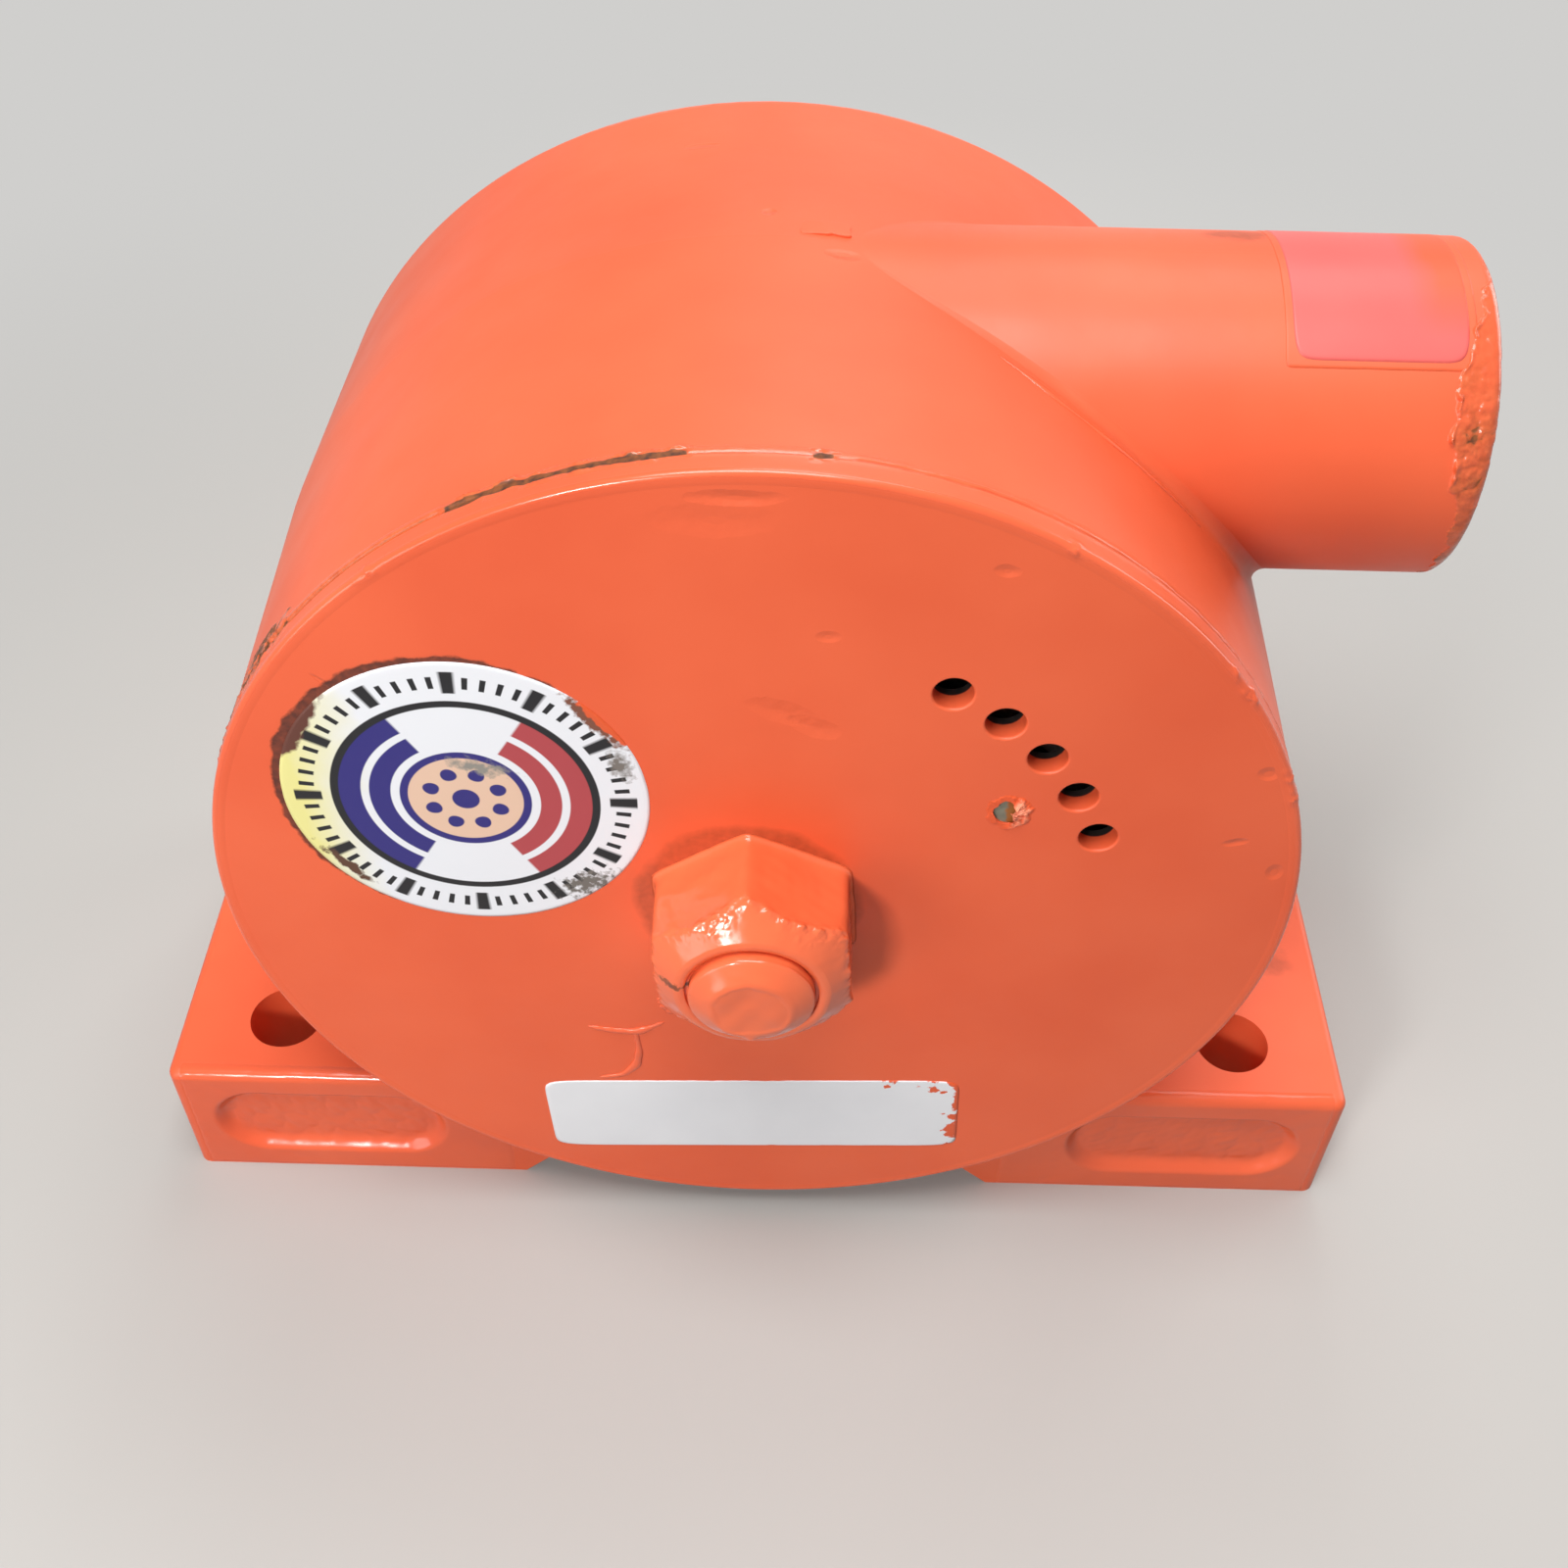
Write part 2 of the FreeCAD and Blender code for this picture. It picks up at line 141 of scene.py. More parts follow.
rustTones = ("34190B", "84481F")  # mottled from near black brown to orange brown
stainTones = ("A0481F", "D0683A")  # rust that has bled into the enamel
primerTones = ("2E1A14", "6B3220")  # old coat under the enamel
# Oily dirt on orange; round the nut's seat these tones are painted shade as well as dirt.
grimeAndShadeTones = ("8A3A1C", "A84A28")  # oily dirt on orange
# Near black: bare iron in the bores, deepened as painted shade at the back of the cover's holes and in the
# inlet.
ironAndShadeTones = ("100C0A", "211A16")  # unpainted bores
freshTones = ("E35C35", "EA653D")  # orange of the castings and the cover
# Paler orange on the nut and bolt: painted light for their upward faces, rather than a second coat.
paleLitTones = ("E9693F", "EF744B")  # paler second coat on the nut and bolt
satin = (0.40, 0.48)  # roughness of enamel on plain castings and plate
wet = (0.15, 0.21)  # roughness of enamel where it is thick

# Size in millimetres and detail of each pattern in the enamel.
enamelNoise = {"tone": (40.0, 3.0), "patch": (12.0, 3.0), "peel": (2.4, 1.0), "swell": (19.0, 1.0),
               "grain": (1.3, 5.0)}
# How broken enamel answers to the rust value of its mesh.
wornEnamel = {"ragged": 0.45, "bare": (0.78, 0.92), "stain": (0.1, 0.6), "stainMost": 0.85, "shineAt": 0.06,
              "shine": 0.2, "rustDull": 0.45, "scale": 0.12}


def orangeEnamel(name, gloss, marks=(), swell=0.06, peel=0.02, broken=False, tones=freshTones):
    # Thick air-dried enamel on cast iron: saturated orange with a soft orange peel and the casting's slow
    # waves under it, with marks that dent it and may stain it, bare the iron or darken it as painted shade.
    # Gloss is its range of roughness. Broken enamel shines at its edges, is stained brown as the piece's
    # rust value rises, and gives way to scaly dark rust where it is high.
    material, add, coords = newMaterial(name)
    noise = {}
    for kind, (size, detail) in enamelNoise.items():
        noise[kind] = add("TexNoise", "Fac", {"Vector": coords, "Scale": 1 / size, "Detail": detail})
    grain = noise["grain"]
    tone, mottle = (add("MapRange", 0, {"Value": noise[kind], "From Min": 0.35, "From Max": 0.65})
                    for kind in ("tone", "grain"))
    colour = add("Mix", 2, {0: tone, 6: tones[0], 7: tones[1]})
    rough = add("MapRange", 0, {"Value": noise["patch"], "From Min": 0.3, "From Max": 0.7,
                                "To Min": gloss[0], "To Max": gloss[1]})
    height = add("Math", 0, {0: noise["peel"], 1: peel}, "MULTIPLY")
    height = add("Math", 0, {0: noise["swell"], 1: swell, 2: height}, "MULTIPLY_ADD")
    for mark in marks:
        mask = spotMask(add, coords, mark)
        height = add("Math", 0, {0: mask, 1: -mark.get("depth", 0.0), 2: height}, "MULTIPLY_ADD")
        # A mark's tones are its stain or dirt; round the nut's seat and in the bores they are also painted
        # shade.
        if "tones" in mark:
            rough = add("Math", 0, {0: mask, 1: mark.get("dull", 0.35), 2: rough}, "MULTIPLY_ADD")
            stain = add("Mix", 2, {0: mottle, 6: mark["tones"][0], 7: mark["tones"][1]})
            share = add("Math", 0, {0: mask, 1: mark.get("cover", 1.0)}, "MULTIPLY")
            colour = add("Mix", 2, {0: share, 6: colour, 7: stain})
    if broken:
        s = wornEnamel
        worn = add("Attribute", "Fac", attribute_name="rust")
        ragged = add("Math", 0, {0: grain, 1: s["ragged"], 2: worn}, "MULTIPLY_ADD")
        bared = add("MapRange", 0, {"Value": ragged, "From Min": s["bare"][0], "From Max": s["bare"][1]})
        stained = add("MapRange", 0, {"Value": worn, "From Min": s["stain"][0], "From Max": s["stain"][1],
                                      "To Max": s["stainMost"]})
        shiny = add("MapRange", 0, {"Value": worn, "From Max": s["shineAt"]})
        stain = add("Mix", 2, {0: mottle, 6: stainTones[0], 7: stainTones[1]})
        rust = add("Mix", 2, {0: mottle, 6: rustTones[0], 7: rustTones[1]})
        colour = add("Mix", 2, {0: stained, 6: colour, 7: stain})
        colour = add("Mix", 2, {0: bared, 6: colour, 7: rust})
        rough = add("Mix", 0, {0: shiny, 2: rough, 3: s["shine"]}, data_type="FLOAT")
        rough = add("Math", 0, {0: bared, 1: s["rustDull"], 2: rough}, "MULTIPLY_ADD")
        scaly = add("Math", 0, {0: grain, 1: stained}, "MULTIPLY")
        height = add("Math", 0, {0: scaly, 1: s["scale"], 2: height}, "MULTIPLY_ADD")
    finishSurface(add, colour, rough, height, IOR=1.5)
    return material


def bareMetal(name, deepHex, paleHex, roughLow, roughHigh, grain):
    # Machined metal: grey with fine tool marks and duller patches.
    material, add, coords = newMaterial(name)
    marks = add("TexNoise", "Fac", {"Vector": coords, "Scale": 1 / grain, "Detail": 4.0})
    tone = add("MapRange", 0, {"Value": marks, "From Min": 0.3, "From Max": 0.7})
    colour = add("Mix", 2, {0: tone, 6: deepHex, 7: paleHex})
    patch = add("TexNoise", "Fac", {"Vector": coords, "Scale": 1 / (6 * grain), "Detail": 2.0})
    rough = add("MapRange", 0, {"Value": patch, "From Min": 0.3, "From Max": 0.7,
                                "To Min": roughLow, "To Max": roughHigh})
    finishSurface(add, colour, rough, marks, 0.02, Metallic=1.0)
    return material


def mouldedPolymer(name, deepHex, paleHex, rough):
    # Moulded rubber or nylon: dull with a fine grain.
    material, add, coords = newMaterial(name)
    grain = add("TexNoise", "Fac", {"Vector": coords, "Scale": 1 / 0.8, "Detail": 2.0})
    colour = add("Mix", 2, {0: grain, 6: deepHex, 7: paleHex})
    finishSurface(add, colour, rough, grain, 0.02, IOR=1.5)
    return material


def waves(u, v, size, seed, octaves=4):
    # Rough field of about -1 to 1: sums sine waves of random direction and phase, each octave half as
    # long and half as high as the one before.
    count = 6
    spread = 3.5
    draw = np.random.default_rng(seed)
    total = np.zeros(np.broadcast(u, v).shape)
    for octave in range(octaves):
        for angle, phase in draw.uniform(0, tau, (count, 2)):
            along = u * np.cos(angle) + v * np.sin(angle)
            total += np.sin(tau * 2 ** octave / size * along + phase) / 2 ** octave
    return total / spread


def ramp(x, low, high):
    # Smooth step: 0 below low, 1 above high, an S curve between.
    t = np.clip((x - low) / (high - low), 0, 1)
    return t * t * (3 - 2 * t)


def window(x, low, high, soft):
    # 1 between low and high, falling to 0 over the soft distance outside them.
    return ramp(x, low - soft, low) * ramp(-x, -high - soft, -high)


def bell(x, wide):
    # Bell curve: 1 at 0, falling away over the width.
    return np.exp(-(x / wide) ** 2)


def circle(count):
    # Even angles once round.
    return np.linspace(0, tau, count, endpoint=False)


def roundAxis(radius, y, turn):
    # Points at a radius and an angle about the spin axis, from +X up towards +Z.
    return np.stack(np.broadcast_arrays(radius * np.cos(turn), y, axisZ + radius * np.sin(turn)), -1)


def roundInlet(x, radius, turn):
    # Points at a radius and an angle about the inlet's axis, from the front up over the top.
    return np.stack(np.broadcast_arrays(x, -radius * np.cos(turn), inletZ + radius * np.sin(turn)), -1)


def closed(grid, last=0.0, first=0.0):
    # Grid with its last and first columns added again, each moved by so much, to close a skin underneath.
    return np.concatenate([grid, grid[:, -1:] + last, grid[:, :1] + first], 1)


def makePiece(name, points, material, wrapU=False, wrapV=True, rust=None,
              flat=None):
    # Grid of points in millimetres joined into quads. Wrapped sides share their vertices, and points
    # that meet at a pole become one. The piece rides on the casing.
    countU, countV = points.shape[:2]
    i = np.arange(countU if wrapU else countU - 1)
    j = np.arange(countV if wrapV else countV - 1)
    i, j = (index.ravel() for index in np.meshgrid(i, j, indexing="ij"))
    nextI = (i + 1) % countU
    nextJ = (j + 1) % countV
    quads = np.stack([i * countV + j, nextI * countV + j, nextI * countV + nextJ, i * countV + nextJ], 1)
    mesh = bpy.data.meshes.new(name)
    mesh.from_pydata((points.reshape(-1, 3) * mm).tolist(), [], quads.tolist())
    if rust is not None:
        layer = mesh.attributes.new("rust", "FLOAT", "POINT")
        layer.data.foreach_set("value", rust.ravel().astype(np.float32))
    if flat is not None:
        layer = mesh.uv_layers.new(name="print")
        layer.uv.foreach_set("vector", flat.reshape(-1, 2)[quads.ravel()].ravel().astype(np.float32))
    shape = bmesh.new()
    shape.from_mesh(mesh)
    bmesh.ops.remove_doubles(shape, verts=shape.verts, dist=1e-6)
    bmesh.ops.recalc_face_normals(shape, faces=shape.faces)
    shape.to_mesh(mesh)
    shape.free()
    mesh.shade_smooth()
    piece = bpy.data.objects.new(name, mesh)
    bpy.context.scene.collection.objects.link(piece)
    mesh.materials.append(material)
    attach(piece, "casing")
    return piece


# Through bolt, its head and the lock nut, under one thick coat of paint.
hexNut = {"flats": 29.4, "side": 11.8, "top": 11.8, "hole": 10.05, "bore": 9.6, "holeDepth": 1.6,
          "cornerDeg": 94.4, "corner": 30, "foot": 0.8, "fade": 0.6, "sag": 0.08, "wrinkle": 0.2, "seed": 3,
          "crinkles": ((113, 17, 0.34), (50, 24, 0.22), (-44, 16, 0.2))}
hexHead = {"flats": 28.575, "side": 10.0, "top": 13.4, "hole": 0.0, "bore": 0.0, "holeDepth": 0.0,
           "cornerDeg": 90.0, "corner": 40, "foot": 0.7, "fade": 0.5, "sag": 0.04, "wrinkle": 0.05, "seed": 8,
           "crinkles": ()}
hexCoat = {"around": 400, "up": 120, "crowd": 0.85, "lip": 0.25, "blend": 40, "edge": 0.9, "sagSize": 9.0,
           "wrinkleSize": 2.6, "wrinkleBase": 0.4, "crinkleSize": 2.0, "crinkleIn": 0.6, "crinkleWide": 1.3,
           "rings": 14, "wallRings": 5}
boltTip = {"radius": 9.525, "bevel": 2.2, "inset": 3.3, "soft": 0.6, "dish": 0.1, "dishRadius": 5.6,
           "pitch": 2.54, "thread": 0.16, "drip": 0.5, "dripHalf": (0.9, 0.7), "dripBelow": 1.0,
           "paint": 0.07, "paintSize": 8.0, "uneven": 0.45, "back": 0.2, "under": 3, "around": 240,
           "along": 230, "seed": 5}
nutMarks = ({"at": (-11.6, nutTopY + 1.0, axisZ + 1.2), "half": (2.2, 2.0, 0.7), "jag": 3.0, "soft": 0.2,
             "grain": 0.7, "tones": rustTones, "cover": 0.8, "dull": 0.02},)


def hexRadius(turn, flats, power):
    # Hexagon with rounded corners: power mean of the distances to its six sides.
    sides = np.arange(6) * tau / 6
    facing = np.clip(np.cos(turn[..., None] - sides), 0, None)
    return flats / 2 * np.sum(facing ** power, -1) ** (-1 / power)


def hexSurface(s, baseY, topY):
    # A closed skin: out along the seat, up the hexagon where a cone cuts its corners, over the top and
    # back down the bore. Paint gathers in a cove at the seat and wrinkles along the cone's edge.
    c = hexCoat
    tall = abs(topY - baseY) - c["lip"]
    turn = circle(c["around"])[None, :]
    rise = np.linspace(0, 1, c["up"])[:, None] ** c["crowd"] * tall
    arc = turn * s["flats"] / 2
    hexagon = hexRadius(turn - np.radians(s["cornerDeg"] - 90), s["flats"], s["corner"])
    corner = s["flats"] / np.sqrt(3)
    cone = s["top"] + (tall - rise) * (corner - s["top"]) / (tall - s["side"])
    outside = (hexagon ** -c["blend"] + cone ** -c["blend"]) ** (-1 / c["blend"])
    outside = outside + s["foot"] * np.exp(-rise / s["fade"])
    outside = outside + s["sag"] * waves(arc, rise, c["sagSize"], s["seed"], 3)
    wrinkled = c["wrinkleBase"] + waves(arc, rise, c["wrinkleSize"], s["seed"] + 1, 3)
    outside = outside + s["wrinkle"] * bell(hexagon - cone, c["edge"]) * wrinkled
    for middle, spread, high in s["crinkles"]:
        near = bell((np.degrees(turn) - middle + 180) % 360 - 180, spread)
        creased = np.abs(waves(arc, rise, c["crinkleSize"], s["seed"] + 5, 3))
        outside = outside + high * near * bell(cone - hexagon + c["crinkleIn"], c["crinkleWide"]) * creased
    share = np.linspace(0, 1, c["rings"])[:, None]
    seat = s["bore"] + (outside[:1] - s["bore"]) * share[:-1]
    crown = outside[-1:] + (s["hole"] - outside[-1:]) * share[1:]
    crownRise = tall + c["lip"] * np.sin(np.pi * share[1:]) + 0 * turn
    down = np.linspace(0, 1, c["wallRings"])[1:, None] * s["holeDepth"]
    wall = s["hole"] + 0 * down + 0 * turn
    floor = np.full_like(turn, s["bore"])
    radius = np.concatenate([seat, outside, crown, wall, floor])
    height = np.concatenate([0 * seat, rise + 0 * turn, crownRise, tall - down + 0 * turn,
                             tall - s["holeDepth"] + 0 * turn])
    return roundAxis(radius, baseY + height * np.sign(topY - baseY), turn)


def softened(corners, soft, count):
    # Profile with straight runs between corners, sampled evenly and averaged over the paint's thickness,
    # so that every corner is rounded by about that much.
    corners = np.array(corners, float)
    length = np.concatenate([[0], np.cumsum(np.hypot(*np.diff(corners, axis=0).T))])
    along = np.linspace(0, length[-1], count)
    width = max(int(soft / (length[-1] / count)), 1)
    even = np.stack([np.interp(along, length, corners[:, k]) for k in (0, 1)])
    padded = np.pad(even, ((0, 0), (width, width)), mode="reflect", reflect_type="odd")
    kernel = np.ones(2 * width + 1) / (2 * width + 1)
    return np.stack([np.convolve(row, kernel, mode="valid") for row in padded])


def boltSurface(s):
    # Turned bar from its tip to the head's seat: flat dished end, cone, a thread that shows faintly
    # through the paint, and a drip hanging from the cone's lower edge.
    tipY = boltLow[1] + s["back"]
    bevelY = tipY + s["bevel"]
    flatEnd = s["radius"] - s["inset"]
    corners = [(0, tipY), (flatEnd, tipY), (s["radius"], bevelY), (s["radius"], coverY + s["under"])]
    radius, y = softened(corners, s["soft"], s["along"])
    radius = np.concatenate([np.clip(radius, 0, None), [s["radius"], 0]])[:, None]
    radius[0] = 0
    y = np.concatenate([y, [washerY, washerY]])[:, None]
    turn = circle(s["around"])[None, :]
    x = radius * np.cos(turn)
    z = radius * np.sin(turn)
    paint = s["paint"] * waves(x, z + y, s["paintSize"], s["seed"], 2)
    groove = 0.5 + 0.5 * np.cos(tau * (y - tipY) / s["pitch"] + turn)
    threaded = ramp(y, bevelY, bevelY + 0.6) * ramp(radius, 9.2, 9.5)
    onEnd = ramp(tipY + 1.0 - y, 0, 0.9)
    uneven = s["uneven"] * waves(6 * np.cos(turn), 6 * np.sin(turn), 9.0, s["seed"] + 1, 3)
    dish = s["dish"] * ramp(s["dishRadius"] + uneven - radius, -0.4, 0.4)
    dripWide, dripTall = s["dripHalf"]
    drip = s["drip"] * bell(x, dripWide) * bell(z + flatEnd + s["dripBelow"], dripTall)
    inner = ramp(radius, 0.2, 1.5)
    wide = radius + (paint - s["thread"] * groove * threaded) * ramp(radius, 6, 9)
    deep = y + (dish + 1.5 * paint * inner) * onEnd - drip * ramp(tipY + 3.0 - y, 0, 1.0)
    deep = np.where(radius < 1e-6, deep.mean(1, keepdims=True), deep)
    return roundAxis(wide, deep, turn)


# Nut, bolt and head take the paler orange, painted light for their upward faces.
paintedSteel = orangeEnamel("orange enamel on steel", wet, nutMarks, swell=0.1, peel=0.035, tones=paleLitTones)
nut = makePiece("lock_nut_painted", hexSurface(hexNut, coverY, nutTopY), paintedSteel, wrapU=True)
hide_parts("lock_nut")
bolt = makePiece("centre_bolt_painted", boltSurface(boltTip), paintedSteel)
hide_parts("centre_bolt")
makePiece("centre_bolt_head", hexSurface(hexHead, washerY, boltHigh[1]), paintedSteel)
print("bolt, head and nut made")

# Paint over the cover's rim and its joint with the drum: swollen beside a fine line all round, split open
# and rusty at the upper left, a stained step beside that, and flaked off further down the same side.
# Angles are in degrees from +X up towards +Z.
rimPaint = {"around": 1440, "edge": 0.7, "taper": 0.0288, "behind": 5.4, "near": 1.6, "face": 1.6,
            "inside": 1.5, "film": 0.06, "least": 0.012, "sunk": 0.03, "sag": 0.04, "line": 0.16,
            "swell": 0.12, "depth": 0.14, "cut": 0.08, "crack": 0.78, "wander": 0.14, "lip": 0.24,
            "flake": 0.26, "bare": 0.17, "nick": 0.2, "leftRise": 0.3, "left": (118, 143), "shine": 0.06,
            "stain": 0.22, "leftStain": 0.36, "stainWidth": 0.4, "stainBack": 0.15, "roughSize": 5.0,
            "fineSize": 1.7, "lumpSize": 8.0, "wanderSize": 7.0, "sagSize": 14.0, "seed": 21,
            "nicks": ((39, 0.9), (35, 1.2), (22.8, 1.0), (20, 0.9), (61, 0.8), (128, 0.8)),
            "splits": ((97, 118, 1.0), (143.5, 151, 0.8), (156, 175, 0.75), (83.9, 84.9, 0.9)),
            "flakes": ((142.5, 150.5, -4.4, 0.9), (156, 175, -2.6, 0.8))}


def rimSurface(s):
    # A skin carried round the drum: from the housing's rim over the joint, along the cover's side, round its
    # front edge and a little way on to its face. In the split stretches its edges stand up in lips beside
    # a rusty crack that wanders a little.
    turn = circle(s["around"])[:, None]
    sideEnd = jointY - coverY - s["edge"]
    quarter = s["edge"] * np.pi / 2
    faceEnd = sideEnd + quarter + s["face"]
    close = np.linspace(-1, 1, 21)
    close = 0.9 * np.sign(close) * np.abs(close) ** 1.4
    along = np.concatenate([np.linspace(-s["behind"], -1.0, 20), close, np.linspace(1.1, sideEnd, 8),
                            np.linspace(sideEnd, sideEnd + quarter, 10)[1:],
                            np.linspace(sideEnd + quarter, faceEnd, 6)[1:]])[None, :]
    behind = s["near"] + 0 * turn
    for start, end, low, high in s["flakes"]:
        reach = (s["behind"] - s["near"]) * window(np.degrees(turn), start, end, 4.0)
        behind = np.maximum(behind, reach + s["near"])
    shrink = (behind - 1) / (s["behind"] - 1)
    along = np.where(along < -1, -1 + (along + 1) * shrink, along)
    bend = np.clip(along - sideEnd, 0, quarter) / s["edge"]
    face = np.clip(along - sideEnd - quarter, 0, None)
    y = jointY - np.clip(along, None, sideEnd) - s["edge"] * np.sin(bend)
    radius = coverRadius - s["edge"] * (1 - np.cos(bend)) - face + np.clip(-along, 0, None) * s["taper"]
    arc = turn * coverRadius
    rough = waves(arc, along, s["roughSize"], s["seed"])
    fine = waves(arc, along, s["fineSize"], s["seed"] + 2, 3)
    lump = waves(arc, along, s["lumpSize"], s["seed"] + 6, 3)
    wander = s["wander"] * waves(arc, 0 * turn, s["wanderSize"], s["seed"] + 1)
    deg = np.degrees(turn) + 0.5 * rough[:, :1]
    split = np.zeros_like(turn)
    for start, end, amount in s["splits"]:
        split = np.maximum(split, amount * window(deg, start, end, 1.2))
    leftward = window(deg, *s["left"], 4.0)
    line = bell(along, s["line"] * (1 + leftward))
    swollen = bell(np.abs(along) - 0.5, 0.3) * (0.8 + 0.4 * rough) * (1 - leftward)
    crack = np.exp(-((along - wander) / (s["crack"] * (0.9 + 0.22 * rough))) ** 4)
    lips = bell(np.abs(along - wander) - s["crack"] - 0.2, 0.2)
    flaked = np.zeros_like(rough)
    patch = np.zeros_like(rough)
    for start, end, low, high in s["flakes"]:
        inside = window(deg + 2.2 * lump, start, end, 2.0) * window(along + 1.3 * lump, low, high, 0.8)
        patch = np.maximum(patch, inside)
        flaked = np.maximum(flaked, inside * ramp(rough + 0.5 * fine + 0.8 * lump, -0.4, 0.3))
    sag = s["sag"] * waves(arc, 2 * along, s["sagSize"], s["seed"] + 3)
    height = s["film"] + sag * ramp(-along, -2.5, -0.5)
    height = height + (s["swell"] * swollen - s["depth"] * line) * (1 - split)
    height = height + split * (s["lip"] * lips * (0.6 + rough + 0.5 * fine) - s["sunk"] * crack)
    height = height + s["leftRise"] * leftward * ramp(-along, 0.0, 0.3) * ramp(along, -1.6, -0.8)
    height = height + s["flake"] * patch * (0.7 + 0.6 * fine)
    onEdge = window(along, sideEnd - 0.6, sideEnd + quarter + 0.2, 0.5)
    for middle, spread in s["nicks"]:
        height = height + s["nick"] * bell(deg - middle, spread) * onEdge * np.abs(0.6 + fine)
    height = height + (s["bare"] - height) * ramp(flaked, 0.35, 0.65)
    ends = np.maximum(ramp(-along, behind - 0.5, behind), ramp(along, faceEnd - 0.9, faceEnd))
    height = np.clip(height, s["least"], None) * (1 - ends) - s["sunk"] * ends
    height = np.where(line > 0.5, height - s["cut"] * line * (1 - split), height)
    rust = split * (0.1 + 0.85 * crack + 0.2 * rough) * window(along, -1.4, 1.4, 0.3)
    rust = np.maximum(rust, np.maximum(0.95 * flaked, 0.5 * patch))
    stain = (s["stain"] + s["leftStain"] * leftward) * (1 - split)
    rust = np.maximum(rust, stain * bell(along + s["stainBack"] * leftward, s["stainWidth"]))
    rust = np.maximum(rust, s["shine"] * window(along, sideEnd - 0.1, sideEnd + quarter, 0.3))
    out = closed(radius + height * np.cos(bend), first=-s["inside"])
    forward = closed(y - height * np.sin(bend), last=s["inside"])
    return roundAxis(out, forward, turn), closed(rust)


splitPaint = orangeEnamel("broken orange enamel over rust", satin, broken=True)
points, rust = rimSurface(rimPaint)
makePiece("rim_paint", points, splitPaint, wrapU=True, rust=rust)
print("rim paint made")

# Knocked end of the inlet: enamel broken back from the rim in crumpled scales, stained, with rust in the
# creases. Angles run from the front up over the top; widths are measured from the end face.
inletEnd = {"reach": 102.3, "radius": 25.0, "round": 1.6, "crumple": 0.34, "lip": 0.42, "film": 0.02,
            "sunk": 0.06, "inside": 1.2, "around": 720, "along": (-9.5, 5.0, 80), "roughSize": 7.0,
            "coarseSize": 4.6, "fineSize": 2.2, "seed": 34, "rustAt": 22.0, "rustSpread": 16.0,
            "turns": (-75, -50, -28, -5, 17, 32, 56, 75, 95),
            "widths": (1.2, 1.8, 2.4, 3.2, 5.8, 6.8, 4.4, 2.2, 0.0)}


def inletEndSurface(s):
    # A skin along the inlet's side, its rounded rim and its end face. Where it is knocked it stands out in
    # scales, which are the sizes of two wave fields, so that they meet in sharp creases; elsewhere it
    # lies just under the casting's own surface.
    turn = circle(s["around"])[:, None]
    deg = np.degrees((turn + np.pi) % tau - np.pi)
    along = np.linspace(*s["along"])[None, :]
    quarter = s["round"] * np.pi / 2
    side = np.clip(along, None, 0)
    bend = np.clip(along, 0, quarter) / s["round"]
    face = np.clip(along - quarter, 0, None)
    x = s["reach"] - s["round"] + side + s["round"] * np.sin(bend)
    radius = s["radius"] - s["round"] + s["round"] * np.cos(bend) - face
    width = np.interp(deg, s["turns"], s["widths"])
    arc = turn * s["radius"]
    rough = waves(arc, along, s["roughSize"], s["seed"])
    coarse = waves(arc, along, s["coarseSize"], s["seed"] + 1, 2)
    fine = waves(arc, along, s["fineSize"], s["seed"] + 2, 2)
    into = along - s["round"] + width + 0.6 * rough + 0.4 * coarse
    knocked = ramp(into, 0, 0.4) * ramp(2.6 + rough - along, 0, 0.8) * ramp(width, 0.2, 0.9)
    scales = np.abs(coarse) + 0.5 * np.abs(fine)
    lip = bell(into - 0.4, 0.4) * ramp(width, 1.2, 2.5) * ramp(deg, 0, 14)
    flecks = np.clip(0.2 + coarse + 0.6 * fine, 0, None)
    near = bell(deg - s["rustAt"], s["rustSpread"])
    onRim = ramp(along, -0.8, 1.0)
    crumple = s["crumple"] * scales * (0.2 + 0.8 * near) * (1 - 0.7 * onRim)
    height = knocked * (s["film"] + crumple) + s["lip"] * lip * flecks
    height = height - s["sunk"] * (1 - knocked)
    px = np.concatenate([x + height * np.sin(bend), x[:, -1:] - s["inside"] + 0 * turn,
                         x[:, :1] + 0 * turn], 1)
    pr = np.concatenate([radius + height * np.cos(bend), radius[:, -1:] + 0 * turn,
                         radius[:, :1] - s["inside"] + 0 * turn], 1)
    rusty = near * ramp(along, -5.5, -1.5)
    lower = ramp(s["rustAt"] - deg, 0, 30)
    rust = knocked * (0.24 + 0.1 * rough + 0.2 * rusty + 0.24 * rusty * bell(scales, 0.28) + 0.26 * lower)
    return roundInlet(px, pr, turn), closed(rust)


points, rust = inletEndSurface(inletEnd)
makePiece("inlet_end_chips", points, splitPaint, wrapU=True, rust=rust)

# Pipe thread in the inlet, 14 threads to the inch.
inletThread = {"pitch": 1.814, "depth": 1.1, "turns": 12, "start": 101.0, "clear": 0.05, "inside": 0.3,
               "around": 120, "perTurn": 10}


def threadSurface(s):
    # Sleeve whose inner wall is a V groove that climbs one pitch for each turn round the bore.
    turn = circle(s["around"])[:, None]
    along = np.linspace(0, s["turns"] * s["pitch"], s["turns"] * s["perTurn"])[None, :]
    ridge = 1 - np.abs(2 * ((along / s["pitch"] + turn / tau) % 1) - 1)
    radius = threadRadius + s["clear"] - s["depth"] * ridge * ramp(along, 0, s["pitch"])
    outer = np.full_like(radius[:, :2], threadRadius + s["inside"])
    return roundInlet(closed(s["start"] - along), np.concatenate([radius, outer], 1), turn)


